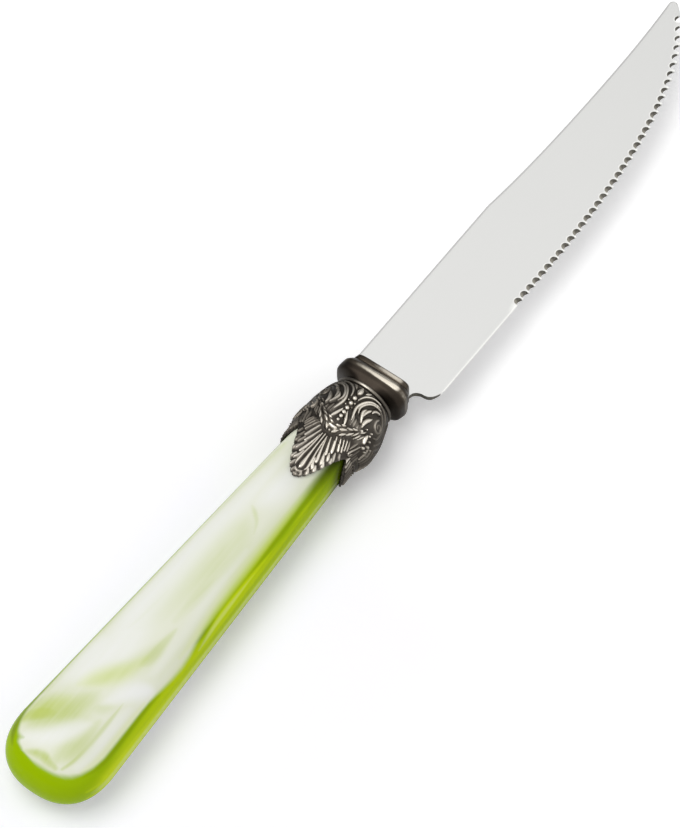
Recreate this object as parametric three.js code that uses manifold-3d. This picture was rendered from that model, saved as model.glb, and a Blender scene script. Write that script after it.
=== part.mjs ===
// A steak knife lying on its side: a serrated blade whose tang runs through a cast collar and a
// leaf-edged ferrule into an acrylic handle, where it is glued.
//
// Millimetres. +X runs from the butt to the tip, +Y from the cutting edge to the spine, +Z is up.
// The sizes below are taken from the knife's own axis: x = 0 is the collar's front face.
// The finished group is moved so that its origin is under the middle of the knife, on the table.
import * as THREE from "three";
import { mergeVertices } from "three/addons/utils/BufferGeometryUtils.js";
import Module from "manifold-3d";

const wasm = await Module();
wasm.setup();

// Clearances
const FIT_GAP = 0.2; // between a piece and the cavity or slot that it is glued into
const LEAF_GAP = 0.2; // between the ferrule's leaves and the handle beneath them

// Blade, outline
const BLADE_LENGTH = 107; // collar face to tip
const SPINE_HEIGHT = 6.9; // axis to the straight stretch of the spine
const SPINE_STRAIGHT = 45; // collar face to the end of that stretch
const SPINE_RISE = 21; // lowest point of the spine to the tip
const SPINE_DIP = 1.7; // drop of the spine to its lowest point
const SPINE_BEND = 15; // length of the bend in which most of the drop happens
const EDGE_DEPTH = 11.5; // axis to the plain stretch of the cutting edge
const PLAIN_EDGE = 28.8; // collar face to the end of that stretch
const BELLY_LEAD = 5.4; // lead of the belly's curve along the plain edge
const BELLY_SWEEP = 24.3; // lead of the belly's curve at the tip
const BELLY_ANGLE = THREE.MathUtils.degToRad(49.3); // rise of the edge where it meets the tip
const TIP_HEIGHT = 4.9; // axis to the middle of the rounded tip
const TIP_RADIUS = 1;
const HEEL_SET = 1.6; // heel ahead of the collar face
const HEEL_CURL = 2.2; // height of the hollow between the collar and the heel
const HEEL_RUN = 3.1; // length of the rounded heel corner
const HEEL_RISE = 2.6; // height of the rounded heel corner

// Blade, thickness and teeth
const BLADE_THICKNESS = 1.2;
const EDGE_BEVEL = 0.7; // width of the ground bevel along the edge
const EDGE_LAND = 0.2; // thickness left at the edge
const TOOTH_PITCH = 2; // along the axis
const FIRST_GULLET = 1.4; // end of the plain edge to the first gullet
const LAST_TOOTH = 3; // last gullet to the tip, at least
const GULLET_RADIUS = 0.72;
const GULLET_INSET = 0.25; // edge to the gullet's centre

// Tang
const SEAT_DEPTH = 2.2; // of the blade's foot in the collar
const TANG_WIDTH = 6;
const TANG_END_WIDTH = 4.4;
const TANG_LENGTH = 68; // collar face to its end
const TANG_TAPER = 24; // length over which it narrows
const TANG_STEP = 0.05; // how far its faces lie below the blade's

// Collar
const COLLAR_CHEEK = 0.8; // metal of the collar beside the blade's foot
const COLLAR_THICKNESS = 10.9;
const COLLAR_BODY = 3.9; // front face to where it starts to neck in
const COLLAR_NECK = 1.7; // from there to the ferrule
const NECK_LAP = 0.4; // how far the neck's end covers the rim of the ferrule's hole
const COLLAR_ROUND = 2.1; // length and height of the rounding of its front rim
const COLLAR_SIDE_ROUND = 1.2; // the same rounding at its two ends
const COLLAR_SQUARENESS = 3.4; // power of its oval section, 2 being an ellipse
const BOSS_LENGTH = 1.2; // boss that enters the ferrule

// Ferrule
const FERRULE_FRONT = 11; // thickness of its front face
const FERRULE_FACE = 1; // width of the flat ring where the collar butts against it
const FERRULE_WALL = 1.6; // front wall
const FERRULE_ASPECT = 1.085; // width over thickness of the ferrule
const RING_THICKNESS = 11.9; // thin ring behind the front face
const RING_LENGTH = 0.9;
const BULB_THICKNESS = 15.4;
const BULB_FLAT = 0.12; // depth of the two flats on which the bulb lies
const BULB_FRONT = 10; // front face to the widest place
const BULB_BACK = 4.3; // widest place to the handle's shoulder
const SKIRT_LENGTH = 1; // shoulder to the lowest places between the leaves
const LEAF_THICKNESS = 0.7;
const LEAF_LENGTH = 10.4; // the two large leaves, past the skirt
const LEAF_FULLNESS = 1.6; // power of their outline, 2 being a wave and less being fuller
const LEAF_SPREAD = THREE.MathUtils.degToRad(52); // half of a large leaf, round the ferrule
const SIDE_LEAF_LENGTH = 2.9;
const SIDE_LEAF_FULLNESS = 0.7;
const LEAF_TURN = THREE.MathUtils.degToRad(8); // of the large leaf from the top, towards the edge

// Handle
const HANDLE_LENGTH = 93.4; // shoulder to butt
const HANDLE_FRONT_WIDTH = 13.2;
const HANDLE_FRONT_THICKNESS = 12.8;
const HANDLE_BUTT_WIDTH = 21.8;
const HANDLE_BUTT_THICKNESS = 15.2;
const HANDLE_SQUARENESS = 2.25; // power of its oval section, 2 being an ellipse
const BUTT_ROUND = 11.6; // length of the rounded butt
const BUTT_PLAN = 2.45; // power of its round seen from above
const BUTT_SIDE = 2.3; // power of its round seen from the side
const TENON_STEP = 1.2; // shoulder round the tenon

// Adhesive
const GLUE_BED = 2.4; // between the ferrule's front wall and the tenon
const GLUE_WALL = 0.6; // between the tang's corners and the bore
const BORE_SPARE = 2; // bore past the end of the tang

// Working values
const CUT_PAST = 6; // how far the grinding shape reaches past the blade
const MERGE_DISTANCE = 1e-4; // vertices closer than this are one
const HALVINGS = 30; // when searching for a place on a curve

// Facets
const CURVE_STEPS = 28;
const OVAL_SIDES = 64;
const LEAF_SIDES = 112;
const ROUND_SIDES = 24;
const GULLET_SIDES = 14;
const DOME_ROWS = 9;
const BODY_ROWS = 6;
const BULB_ROWS = 5;
const NECK_ROWS = 5;
const LEAF_ROWS = 6;

// Places along the axis
const ferruleFront = -COLLAR_BODY - COLLAR_NECK;
const bulbPlace = ferruleFront - BULB_FRONT;
const shoulder = bulbPlace - BULB_BACK;
const butt = shoulder - HANDLE_LENGTH;
const cavityFront = ferruleFront - FERRULE_WALL;
const tenonEnd = cavityFront - GLUE_BED;
const boreEnd = -TANG_LENGTH - BORE_SPARE;

// Sizes that several pieces share
const heelNeck = EDGE_DEPTH - HEEL_RISE - HEEL_CURL;
const collarWidth = 2 * (Math.max(SPINE_HEIGHT, heelNeck) + COLLAR_CHEEK);
const tangThickness = BLADE_THICKNESS - 2 * TANG_STEP;
const holeThickness = FERRULE_FRONT - 2 * FERRULE_FACE;
const tenonWidth = HANDLE_FRONT_WIDTH - 2 * TENON_STEP;
const tenonThickness = HANDLE_FRONT_THICKNESS - 2 * TENON_STEP;
const boreRadius = Math.hypot(TANG_WIDTH, tangThickness) / 2 + FIT_GAP + GLUE_WALL + FIT_GAP;

// A closed geometry as a solid for joining and cutting.
function solid(geometry) {
  const bare = new THREE.BufferGeometry();
  bare.setAttribute("position", geometry.attributes.position);
  bare.setIndex(geometry.index);
  const merged = mergeVertices(bare, MERGE_DISTANCE);
  const corners = merged.index.array;
  const triangles = [];
  for (let i = 0; i < corners.length; i += 3) {
    const [a, b, c] = corners.slice(i, i + 3);
    if (a !== b && b !== c && c !== a) triangles.push(a, b, c);
  }
  return new wasm.Manifold(
    new wasm.Mesh({
      numProp: 3,
      vertProperties: new Float32Array(merged.attributes.position.array),
      triVerts: new Uint32Array(triangles),
    }),
  );
}

// A named mesh from a solid.
function piece(name, body, material) {
  const { vertProperties, triVerts } = body.getMesh();
  const geometry = new THREE.BufferGeometry();
  geometry.setAttribute("position", new THREE.BufferAttribute(vertProperties, 3));
  geometry.setIndex(new THREE.BufferAttribute(triVerts, 1));
  geometry.computeVertexNormals();
  const mesh = new THREE.Mesh(geometry, new THREE.MeshStandardMaterial(material));
  mesh.name = name;
  return mesh;
}

// A body of oval rings along the axis. Each ring gives, for an angle from the top towards the cutting
// edge, its place x, its half width and half thickness, and the power of its section.
function ovalBody(rings, sides) {
  const profile = rings.map((ring, row) => new THREE.Vector2(1, row));
  const geometry = new THREE.LatheGeometry(profile, sides);
  const position = geometry.attributes.position;
  for (let i = 0; i < position.count; i += 1) {
    const turn = (Math.floor(i / rings.length) % sides) * ((2 * Math.PI) / sides);
    const { x, width, thickness, power = 2 } = rings[i % rings.length](turn);
    const sine = Math.sin(turn);
    const cosine = Math.cos(turn);
    const reach = (Math.abs(sine) ** power + Math.abs(cosine) ** power) ** (-1 / power);
    position.setXYZ(i, x, -width * reach * sine, thickness * reach * cosine);
  }
  return solid(geometry);
}

// The same ring at every angle.
const ring = (x, width, thickness, power) => () => ({ x, width, thickness, power });

// A ring in the ferrule's proportions.
const ferruleRing = (x, thickness) => ring(x, thickness * FERRULE_ASPECT, thickness);

// Even steps from 0 to 1, both ends included.
const steps = (count) => Array.from({ length: count + 1 }, (unused, i) => i / count);

// A bar along the axis with a rectangular section, between two places along each of x and y.
function bar(from, to, low, high, thickness) {
  const geometry = new THREE.BoxGeometry(to - from, high - low, thickness);
  return solid(geometry.translate((from + to) / 2, (low + high) / 2, 0));
}

// A round rod along the axis.
function rod(from, to, radius) {
  const geometry = new THREE.CylinderGeometry(radius, radius, to - from, ROUND_SIDES);
  return solid(geometry.rotateZ(Math.PI / 2).translate((from + to) / 2, 0, 0));
}

// A flat outline as a plate centred on z = 0.
function plate(shape, thickness) {
  const geometry = new THREE.ExtrudeGeometry(shape, {
    depth: thickness,
    bevelEnabled: false,
    curveSegments: CURVE_STEPS,
  });
  return solid(mergeVertices(geometry.translate(0, 0, -thickness / 2)));
}

const tipCentre = new THREE.Vector2(BLADE_LENGTH - TIP_RADIUS, TIP_HEIGHT);

// The curved, toothed part of the cutting edge, up to the rounded tip.
function belly() {
  const along = new THREE.Vector2(Math.cos(BELLY_ANGLE), Math.sin(BELLY_ANGLE));
  const outward = new THREE.Vector2(along.y, -along.x);
  const end = tipCentre.clone().addScaledVector(outward, TIP_RADIUS);
  return new THREE.CubicBezierCurve(
    new THREE.Vector2(PLAIN_EDGE, -EDGE_DEPTH),
    new THREE.Vector2(PLAIN_EDGE + BELLY_LEAD, -EDGE_DEPTH),
    end.clone().addScaledVector(along, -BELLY_SWEEP),
    end,
  );
}

// The blade seen from its side: collar face, heel, edge, tip and spine.
function bladeOutline() {
  const low = SPINE_HEIGHT - SPINE_DIP;
  const lowPlace = BLADE_LENGTH - SPINE_RISE;
  const heelCentre = new THREE.Vector2(HEEL_SET + HEEL_RUN, -EDGE_DEPTH + HEEL_RISE);
  const shape = new THREE.Shape();
  shape.moveTo(0, SPINE_HEIGHT);
  shape.lineTo(0, -heelNeck);
  shape.absellipse(0, heelCentre.y, HEEL_SET, HEEL_CURL, Math.PI / 2, 0, true);
  shape.absellipse(heelCentre.x, heelCentre.y, HEEL_RUN, HEEL_RISE, Math.PI, 1.5 * Math.PI);
  shape.lineTo(PLAIN_EDGE, -EDGE_DEPTH);
  shape.curves.push(belly());
  shape.currentPoint.copy(belly().v3);
  shape.absarc(tipCentre.x, tipCentre.y, TIP_RADIUS, BELLY_ANGLE - Math.PI / 2, Math.PI / 2);
  shape.quadraticCurveTo((tipCentre.x + lowPlace) / 2, low, lowPlace, low);
  shape.quadraticCurveTo(SPINE_STRAIGHT + SPINE_BEND, low, SPINE_STRAIGHT, SPINE_HEIGHT);
  shape.closePath();
  return shape;
}

// A plate that is ground to a narrow land along the cutting edge and reaches past the blade elsewhere.
function groundPlate() {
  const past = EDGE_BEVEL + CUT_PAST;
  const edge = belly();
  const beyond = edge.v3.clone().addScaledVector(edge.getTangent(1), past);
  const top = SPINE_HEIGHT + past;
  const shape = new THREE.Shape();
  shape.moveTo(-past, top);
  shape.lineTo(-past, -EDGE_DEPTH);
  shape.lineTo(PLAIN_EDGE, -EDGE_DEPTH);
  shape.curves.push(edge);
  shape.currentPoint.copy(edge.v3);
  shape.lineTo(beyond.x, beyond.y);
  shape.lineTo(beyond.x, Math.max(beyond.y, top) + past);
  shape.closePath();
  const geometry = new THREE.ExtrudeGeometry(shape, {
    depth: EDGE_LAND,
    bevelThickness: (BLADE_THICKNESS - EDGE_LAND) / 2,
    bevelSize: EDGE_BEVEL,
    bevelOffset: -EDGE_BEVEL,
    bevelSegments: 1,
    curveSegments: CURVE_STEPS,
  });
  return solid(mergeVertices(geometry.translate(0, 0, -EDGE_LAND / 2)));
}

// The place on the belly at a distance from the collar face, by halving.
function bellyShare(curve, x) {
  let from = 0;
  let to = 1;
  for (let i = 0; i < HALVINGS; i += 1) {
    const middle = (from + to) / 2;
    if (curve.getPoint(middle).x < x) from = middle;
    else to = middle;
  }
  return from;
}

// The round gullets between the teeth.
function gullets() {
  const edge = belly();
  const cuts = [];
  const last = BLADE_LENGTH - LAST_TOOTH;
  for (let x = PLAIN_EDGE + FIRST_GULLET; x <= last; x += TOOTH_PITCH) {
    const share = bellyShare(edge, x);
    const along = edge.getTangent(share);
    const inward = new THREE.Vector2(-along.y, along.x);
    const centre = edge.getPoint(share).addScaledVector(inward, GULLET_INSET);
    const height = 2 * BLADE_THICKNESS;
    const drill = new THREE.CylinderGeometry(GULLET_RADIUS, GULLET_RADIUS, height, GULLET_SIDES);
    cuts.push(solid(drill.rotateX(Math.PI / 2).translate(centre.x, centre.y, 0)));
  }
  return cuts;
}

// The blade's foot in the collar, and behind it the tang, which narrows towards its end. Their root lies
// inside the blade.
function tang() {
  const taperStart = TANG_TAPER - TANG_LENGTH;
  const top = SPINE_HEIGHT - TANG_STEP;
  const bottom = -heelNeck + TANG_STEP;
  const shape = new THREE.Shape();
  shape.moveTo(HEEL_SET, top);
  shape.lineTo(-SEAT_DEPTH, top);
  shape.lineTo(-SEAT_DEPTH, TANG_WIDTH / 2);
  shape.lineTo(taperStart, TANG_WIDTH / 2);
  shape.lineTo(-TANG_LENGTH, TANG_END_WIDTH / 2);
  shape.lineTo(-TANG_LENGTH, -TANG_END_WIDTH / 2);
  shape.lineTo(taperStart, -TANG_WIDTH / 2);
  shape.lineTo(-SEAT_DEPTH, -TANG_WIDTH / 2);
  shape.lineTo(-SEAT_DEPTH, bottom);
  shape.lineTo(0, bottom);
  shape.lineTo(HEEL_SET, bottom + HEEL_SET);
  shape.closePath();
  return plate(shape, tangThickness);
}

function blade() {
  const sheet = plate(bladeOutline(), BLADE_THICKNESS).intersect(groundPlate());
  const toothed = gullets().reduce((body, cut) => body.subtract(cut), sheet);
  return piece("blade", toothed.add(tang()), {
    color: 0xdededb,
    roughness: 0.25,
    metalness: 1,
  });
}

// The slot that lets the tang through, with its clearance.
function tangSlot(from, to) {
  const half = TANG_WIDTH / 2 + FIT_GAP;
  return bar(from, to, -half, half, tangThickness + 2 * FIT_GAP);
}

// The collar: a rounded rim, a flat-sided body and a hollow neck that ends at the ferrule's front face.
function collar() {
  const width = collarWidth / 2;
  const thickness = COLLAR_THICKNESS / 2;
  const neck = holeThickness / 2 + NECK_LAP;
  const boss = holeThickness / 2 - FIT_GAP;
  const bossEnd = ferruleFront - BOSS_LENGTH;
  const neckRings = steps(NECK_ROWS).map((step) => {
    const share = Math.cos((step * Math.PI) / 2) ** 2;
    return ring(
      ferruleFront + COLLAR_NECK * step,
      width + (neck * FERRULE_ASPECT - width) * share,
      thickness + (neck - thickness) * share,
      COLLAR_SQUARENESS + (2 - COLLAR_SQUARENESS) * share,
    );
  });
  const rim = steps(NECK_ROWS).map((step) => {
    const angle = (step * Math.PI) / 2;
    const fall = 1 - Math.cos(angle);
    return ring(
      -COLLAR_ROUND * (1 - Math.sin(angle)),
      width - COLLAR_SIDE_ROUND * fall,
      thickness - COLLAR_ROUND * fall,
      COLLAR_SQUARENESS,
    );
  });
  const rings = [
    ring(bossEnd, 0, 0),
    ferruleRing(bossEnd, boss),
    ferruleRing(ferruleFront, boss),
    ...neckRings,
    ...rim,
    ring(0, 0, 0),
  ];
  const foot = bar(
    -SEAT_DEPTH - FIT_GAP,
    COLLAR_ROUND,
    -heelNeck - FIT_GAP,
    SPINE_HEIGHT + FIT_GAP,
    tangThickness + 2 * FIT_GAP,
  );
  const slotted = ovalBody(rings, OVAL_SIDES)
    .subtract(tangSlot(bossEnd - BOSS_LENGTH, 0))
    .subtract(foot);
  return piece("bolster_collar", slotted, {
    color: 0x6f685c,
    roughness: 0.38,
    metalness: 0.9,
  });
}

// The handle's half width and half thickness at a place behind its shoulder.
function handleSize(x) {
  const straight = HANDLE_LENGTH - BUTT_ROUND;
  const share = Math.min((shoulder - x) / straight, 1);
  const end = Math.max((shoulder - x - straight) / BUTT_ROUND, 0);
  const width = HANDLE_FRONT_WIDTH + (HANDLE_BUTT_WIDTH - HANDLE_FRONT_WIDTH) * share;
  const thickness =
    HANDLE_FRONT_THICKNESS + (HANDLE_BUTT_THICKNESS - HANDLE_FRONT_THICKNESS) * share;
  return {
    width: (width / 2) * (1 - end ** BUTT_PLAN) ** (1 / BUTT_PLAN),
    thickness: (thickness / 2) * (1 - end ** BUTT_SIDE) ** (1 / BUTT_SIDE),
    power: HANDLE_SQUARENESS,
  };
}

// A ring on the handle's surface.
const handleRing = (x) => () => ({ x, ...handleSize(x) });

// A ring round the tenon, with a clearance.
const tenonRing = (x, clear) =>
  ring(x, tenonWidth / 2 + clear, tenonThickness / 2 + clear, HANDLE_SQUARENESS);

// The handle: domed butt, swelling grip, shoulder and tenon, bored for the tang.
function handle() {
  const domeStart = butt + BUTT_ROUND;
  const dome = steps(DOME_ROWS).map((step) =>
    handleRing(domeStart - BUTT_ROUND * Math.cos((step * Math.PI) / 2)),
  );
  const grip = steps(BODY_ROWS).map((step) => handleRing(domeStart + (shoulder - domeStart) * step));
  const rings = [
    ...dome,
    ...grip.slice(1),
    tenonRing(shoulder, 0),
    tenonRing(tenonEnd, 0),
    ring(tenonEnd, 0, 0),
  ];
  const bore = rod(boreEnd, tenonEnd + BORE_SPARE, boreRadius);
  return piece("handle", ovalBody(rings, OVAL_SIDES).subtract(bore), {
    color: 0xc3d468,
    roughness: 0.12,
    metalness: 0,
  });
}

// One leaf's outline: full length on its middle line, nothing at its spread.
function leafReach(turn, middle, spread, fullness) {
  const off = Math.atan2(Math.sin(turn - middle), Math.cos(turn - middle));
  return Math.abs(off) < spread ? Math.cos((off / spread) * (Math.PI / 2)) ** fullness : 0;
}

// The ferrule's rim: two large leaves on the broad sides and two small ones between them.
function rimPlace(turn) {
  const sideSpread = Math.PI / 2 - LEAF_SPREAD;
  let reach = SKIRT_LENGTH;
  for (const half of [0, Math.PI]) {
    const middle = LEAF_TURN + half;
    const side = middle + Math.PI / 2;
    reach += LEAF_LENGTH * leafReach(turn, middle, LEAF_SPREAD, LEAF_FULLNESS);
    reach += SIDE_LEAF_LENGTH * leafReach(turn, side, sideSpread, SIDE_LEAF_FULLNESS);
  }
  return shoulder - reach;
}

// A row of the leaves, at a share of the way from the rim to the shoulder, clear of the handle.
function leafRow(share, clear) {
  return (turn) => {
    const rim = rimPlace(turn);
    const x = rim + (shoulder - rim) * share;
    const { width, thickness, power } = handleSize(x);
    return { x, width: width + clear, thickness: thickness + clear, power };
  };
}

// The bulb's half thickness at a place between the ring and the shoulder.
function bulbSize(x) {
  const behind = ferruleFront - x;
  const front = FERRULE_FRONT / 2;
  const widest = BULB_THICKNESS / 2;
  const foot = HANDLE_FRONT_THICKNESS / 2 + LEAF_GAP + LEAF_THICKNESS;
  if (behind < BULB_FRONT) {
    const share = (BULB_FRONT - behind) / (BULB_FRONT - RING_LENGTH);
    return front + (widest - front) * Math.sqrt(1 - share ** 2);
  }
  const share = (behind - BULB_FRONT) / BULB_BACK;
  return widest + (foot - widest) * (1 - Math.cos(share * Math.PI)) / 2;
}

// The ferrule: leaves, bulb with its flats, thin ring and front wall outside, and the tenon's cavity
// inside.
function ferrule() {
  const outside = LEAF_GAP + LEAF_THICKNESS;
  const hole = holeThickness / 2;
  const ringBack = ferruleFront - RING_LENGTH;
  const back = steps(BULB_ROWS).map((step) => shoulder + BULB_BACK * step);
  const front = steps(BULB_ROWS).map(
    (step) => bulbPlace + (ringBack - bulbPlace) * Math.sin((step * Math.PI) / 2),
  );
  const bulb = [...back.slice(1), ...front.slice(1)].map((x) => ferruleRing(x, bulbSize(x)));
  const leaves = steps(LEAF_ROWS).map((share) => leafRow(share, outside));
  const lining = steps(LEAF_ROWS).map((share) => leafRow(1 - share, LEAF_GAP));
  const rings = [
    ...leaves,
    ...bulb,
    ferruleRing(ringBack + RING_LENGTH / 4, RING_THICKNESS / 2),
    ferruleRing(ferruleFront - RING_LENGTH / 4, RING_THICKNESS / 2),
    ferruleRing(ferruleFront, FERRULE_FRONT / 2),
    ferruleRing(ferruleFront, hole),
    ferruleRing(cavityFront, hole),
    tenonRing(cavityFront, FIT_GAP),
    tenonRing(shoulder + FIT_GAP, FIT_GAP),
    () => ({ ...handleSize(shoulder), x: shoulder + FIT_GAP }),
    ...lining,
    leaves[0],
  ];
  const reach = BULB_THICKNESS * FERRULE_ASPECT;
  const flats = bar(butt, 0, -reach, reach, BULB_THICKNESS - 2 * BULB_FLAT);
  return piece("ferrule", ovalBody(rings, LEAF_SIDES).intersect(flats), {
    color: 0x8b8577,
    roughness: 0.35,
    metalness: 0.9,
  });
}

// The cured bed in the ferrule, in front of the tenon.
function ferruleAdhesive() {
  const from = tenonEnd + FIT_GAP;
  const to = cavityFront - FIT_GAP;
  const rings = [ring(from, 0, 0), tenonRing(from, 0), tenonRing(to, 0), ring(to, 0, 0)];
  const slot = tangSlot(from - GLUE_BED, to + GLUE_BED);
  return piece("ferrule_adhesive", ovalBody(rings, OVAL_SIDES).subtract(slot), {
    color: 0xd8cfae,
    roughness: 0.6,
    metalness: 0,
  });
}

// The cured filling of the bore, with the tang's own slot in it.
function tangAdhesive() {
  const from = boreEnd + FIT_GAP;
  const filling = rod(from, tenonEnd, boreRadius - FIT_GAP);
  const slot = tangSlot(-TANG_LENGTH - FIT_GAP, tenonEnd + BORE_SPARE);
  return piece("tang_adhesive", filling.subtract(slot), {
    color: 0xd8cfae,
    roughness: 0.6,
    metalness: 0,
  });
}

const knife = new THREE.Group();
knife.add(blade(), collar(), ferrule(), handle(), ferruleAdhesive(), tangAdhesive());
const box = new THREE.Box3().setFromObject(knife);
const middle = box.getCenter(new THREE.Vector3());
knife.position.set(-middle.x, -middle.y, -box.min.z);

const model = new THREE.Group();
model.add(knife);

export default model;
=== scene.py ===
"""A steak knife lying on its side: blade, collar, ferrule and handle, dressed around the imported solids."""

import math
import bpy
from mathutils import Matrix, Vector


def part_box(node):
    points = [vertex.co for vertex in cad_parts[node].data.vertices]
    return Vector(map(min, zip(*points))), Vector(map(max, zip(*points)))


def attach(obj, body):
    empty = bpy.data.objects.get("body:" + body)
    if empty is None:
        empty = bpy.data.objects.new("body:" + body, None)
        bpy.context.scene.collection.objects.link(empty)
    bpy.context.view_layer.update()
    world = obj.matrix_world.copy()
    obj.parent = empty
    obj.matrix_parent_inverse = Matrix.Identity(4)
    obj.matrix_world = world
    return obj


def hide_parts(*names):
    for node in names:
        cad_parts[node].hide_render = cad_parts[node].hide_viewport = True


bl_info = {
    "name": "Steak Knife",
    "version": (1, 0, 0),
    "blender": (4, 5, 0),
    "location": "3D View > Sidebar > Knife",
    "description": "Builds the visible pieces of a steak knife around its packed solids",
    "category": "Mesh",
}

from types import SimpleNamespace

import bmesh
import bpy
import numpy as np
from bpy.props import FloatProperty, FloatVectorProperty, PointerProperty
from mathutils import Vector

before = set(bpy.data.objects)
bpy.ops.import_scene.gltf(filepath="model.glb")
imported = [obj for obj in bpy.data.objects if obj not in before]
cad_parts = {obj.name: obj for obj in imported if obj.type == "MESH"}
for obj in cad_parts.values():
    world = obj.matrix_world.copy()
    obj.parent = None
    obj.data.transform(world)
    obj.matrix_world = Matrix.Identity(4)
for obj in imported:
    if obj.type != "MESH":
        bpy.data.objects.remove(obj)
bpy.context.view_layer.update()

MM = 0.001
BODY = "root"

# Powers of the oval sections.
ROUND, SQUARE = 2, 30

# The floor's glow changes along the knife between these places, in metres from the collar's front face.
FERRULE_FLOOR = (-0.042, -0.02)
BLADE_FLOOR = (-0.02, 0.03)
# Across the knife it changes between these distances from a line on the shadow's side of the axis.
SHADOW_SIDE = 0.012
FAR_FLOOR = (0.02, 0.06)
FLOOR_HALF = 0.7
# Each lamp's side and place in metres. The lamps face the middle of the floor.
LAMPS = {"overhead": (0.8, (-0.3, 0.24, 0.96)), "fill": (0.9, (0.6, -1.0, 0.85))}
# The camera looks at this place on the knife, in millimetres from the collar's front face.
CAMERA_TARGET = (-11.3, 2.0, 0)
SENSOR = 36
PICTURE_HEIGHT = 828

# The knife's own axis: x = 0 is the collar's front face, and the lengths below are in millimetres from it.
COLLAR_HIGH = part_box("bolster_collar")[1]
HANDLE_LOW, HANDLE_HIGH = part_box("handle")
HANDLE_MIDDLE = (HANDLE_LOW + HANDLE_HIGH) / 2
AXIS = Vector((COLLAR_HIGH.x, HANDLE_MIDDLE.y, HANDLE_MIDDLE.z))

# The ornament is laid out on an unrolled plan: degrees from the middle of a leaf, and places along the axis.
PLAN_RADIUS = 7.6
# The leaf's middle line drifts round the axis, as (place, degrees).
MIDDLE_LINE = [(-31, 11), (-26, 9), (-20, 7.6), (-15, 7.2), (-10, 5.2), (-6, 4.6)]

# Each stroke is a list of (degrees, place, half width), and its height as a share of the relief.
SCROLLS = [
    ([(6.4, -10.1, 0.14), (8, -9.3, 0.21), (11, -8.5, 0.26), (15, -7.95, 0.27), (20, -7.5, 0.26),
      (26, -7.2, 0.25), (33, -7.05, 0.22), (41, -7, 0.18)], 0.95),
    ([(41, -7, 0.2), (50, -7.05, 0.2), (59, -7.4, 0.22), (66, -8, 0.22), (73, -9.1, 0.22),
      (77, -10.5, 0.22), (78, -12, 0.2), (75, -13.6, 0.16)], 0.6),
    ([(14.6, -14.6, 0.08), (13, -13.6, 0.25), (11.2, -12.5, 0.32), (10.6, -11.6, 0.32), (11.6, -10.8, 0.3),
      (14, -10, 0.28), (17.6, -9.2, 0.27), (22, -8.6, 0.25), (27, -8.2, 0.23), (33, -7.95, 0.2),
      (41, -7.8, 0.14)], 1.0),
    ([(17.6, -12.6, 0.08), (15.7, -11.8, 0.2), (15.2, -11.1, 0.26), (16.6, -10.4, 0.28),
      (19.6, -9.65, 0.27), (24, -9, 0.25), (30, -8.5, 0.23), (38, -8.2, 0.2), (46, -8.1, 0.18)], 0.95),
    ([(46, -8.1, 0.2), (54, -8.45, 0.22), (61, -9.2, 0.24), (66, -10.3, 0.24), (67.5, -11.6, 0.24),
      (64.5, -12.9, 0.22), (58, -13.5, 0.16)], 0.62),
    ([(27.4, -13.7, 0.08), (25, -12.9, 0.26), (23, -12.1, 0.36), (21.6, -11.4, 0.32), (22.6, -10.9, 0.2),
      (24.6, -10.5, 0.08)], 1.0),
    ([(25.4, -12.1, 0.1), (25.8, -11.4, 0.26), (27.4, -10.7, 0.31), (30, -10.15, 0.27),
      (31.6, -9.9, 0.08)], 0.95),
    ([(31.8, -14.1, 0.1), (31.4, -13.3, 0.34), (32.6, -12.5, 0.4), (35.2, -11.85, 0.38),
      (37.4, -11.4, 0.22), (38.8, -11.1, 0.08)], 1.1),
    ([(34.6, -10.1, 0.14), (36, -9.55, 0.31), (39.6, -9.1, 0.27), (44.6, -8.9, 0.2),
      (50, -8.95, 0.1)], 0.95),
    ([(9.6, -7.8, 0.12), (12.4, -7.3, 0.33), (17, -6.8, 0.2)], 0.85),
    ([(3.6, -13.4, 0.08), (5.6, -14.2, 0.24), (8, -15.1, 0.33), (10.2, -15.85, 0.28),
      (11, -16.25, 0.08)], 1.05),
    ([(15.2, -13.2, 0.08), (16.6, -14.2, 0.2), (17.8, -15.3, 0.08)], 0.6),
    ([(19.6, -13.5, 0.08), (21.2, -14.4, 0.22), (22.4, -15.2, 0.08)], 0.6),
    ([(26.6, -14.2, 0.08), (27.4, -14.8, 0.2), (29.5, -15.2, 0.08)], 0.6),
    ([(68, -14.2, 0.16), (74, -13, 0.26), (79, -11.6, 0.28), (82, -10, 0.26), (81, -8.4, 0.16)], 0.7),
    ([(71, -15.3, 0.16), (79, -13.7, 0.28), (85, -12, 0.28), (87, -10, 0.28), (86, -7.8, 0.16)], 0.7),
    ([(77, -16.2, 0.16), (84, -14.9, 0.28), (90, -13.6, 0.28)], 0.75),
    ([(90, -7.3, 0.2), (90, -9.5, 0.3), (90, -12.4, 0.16)], 0.75),
]
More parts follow.
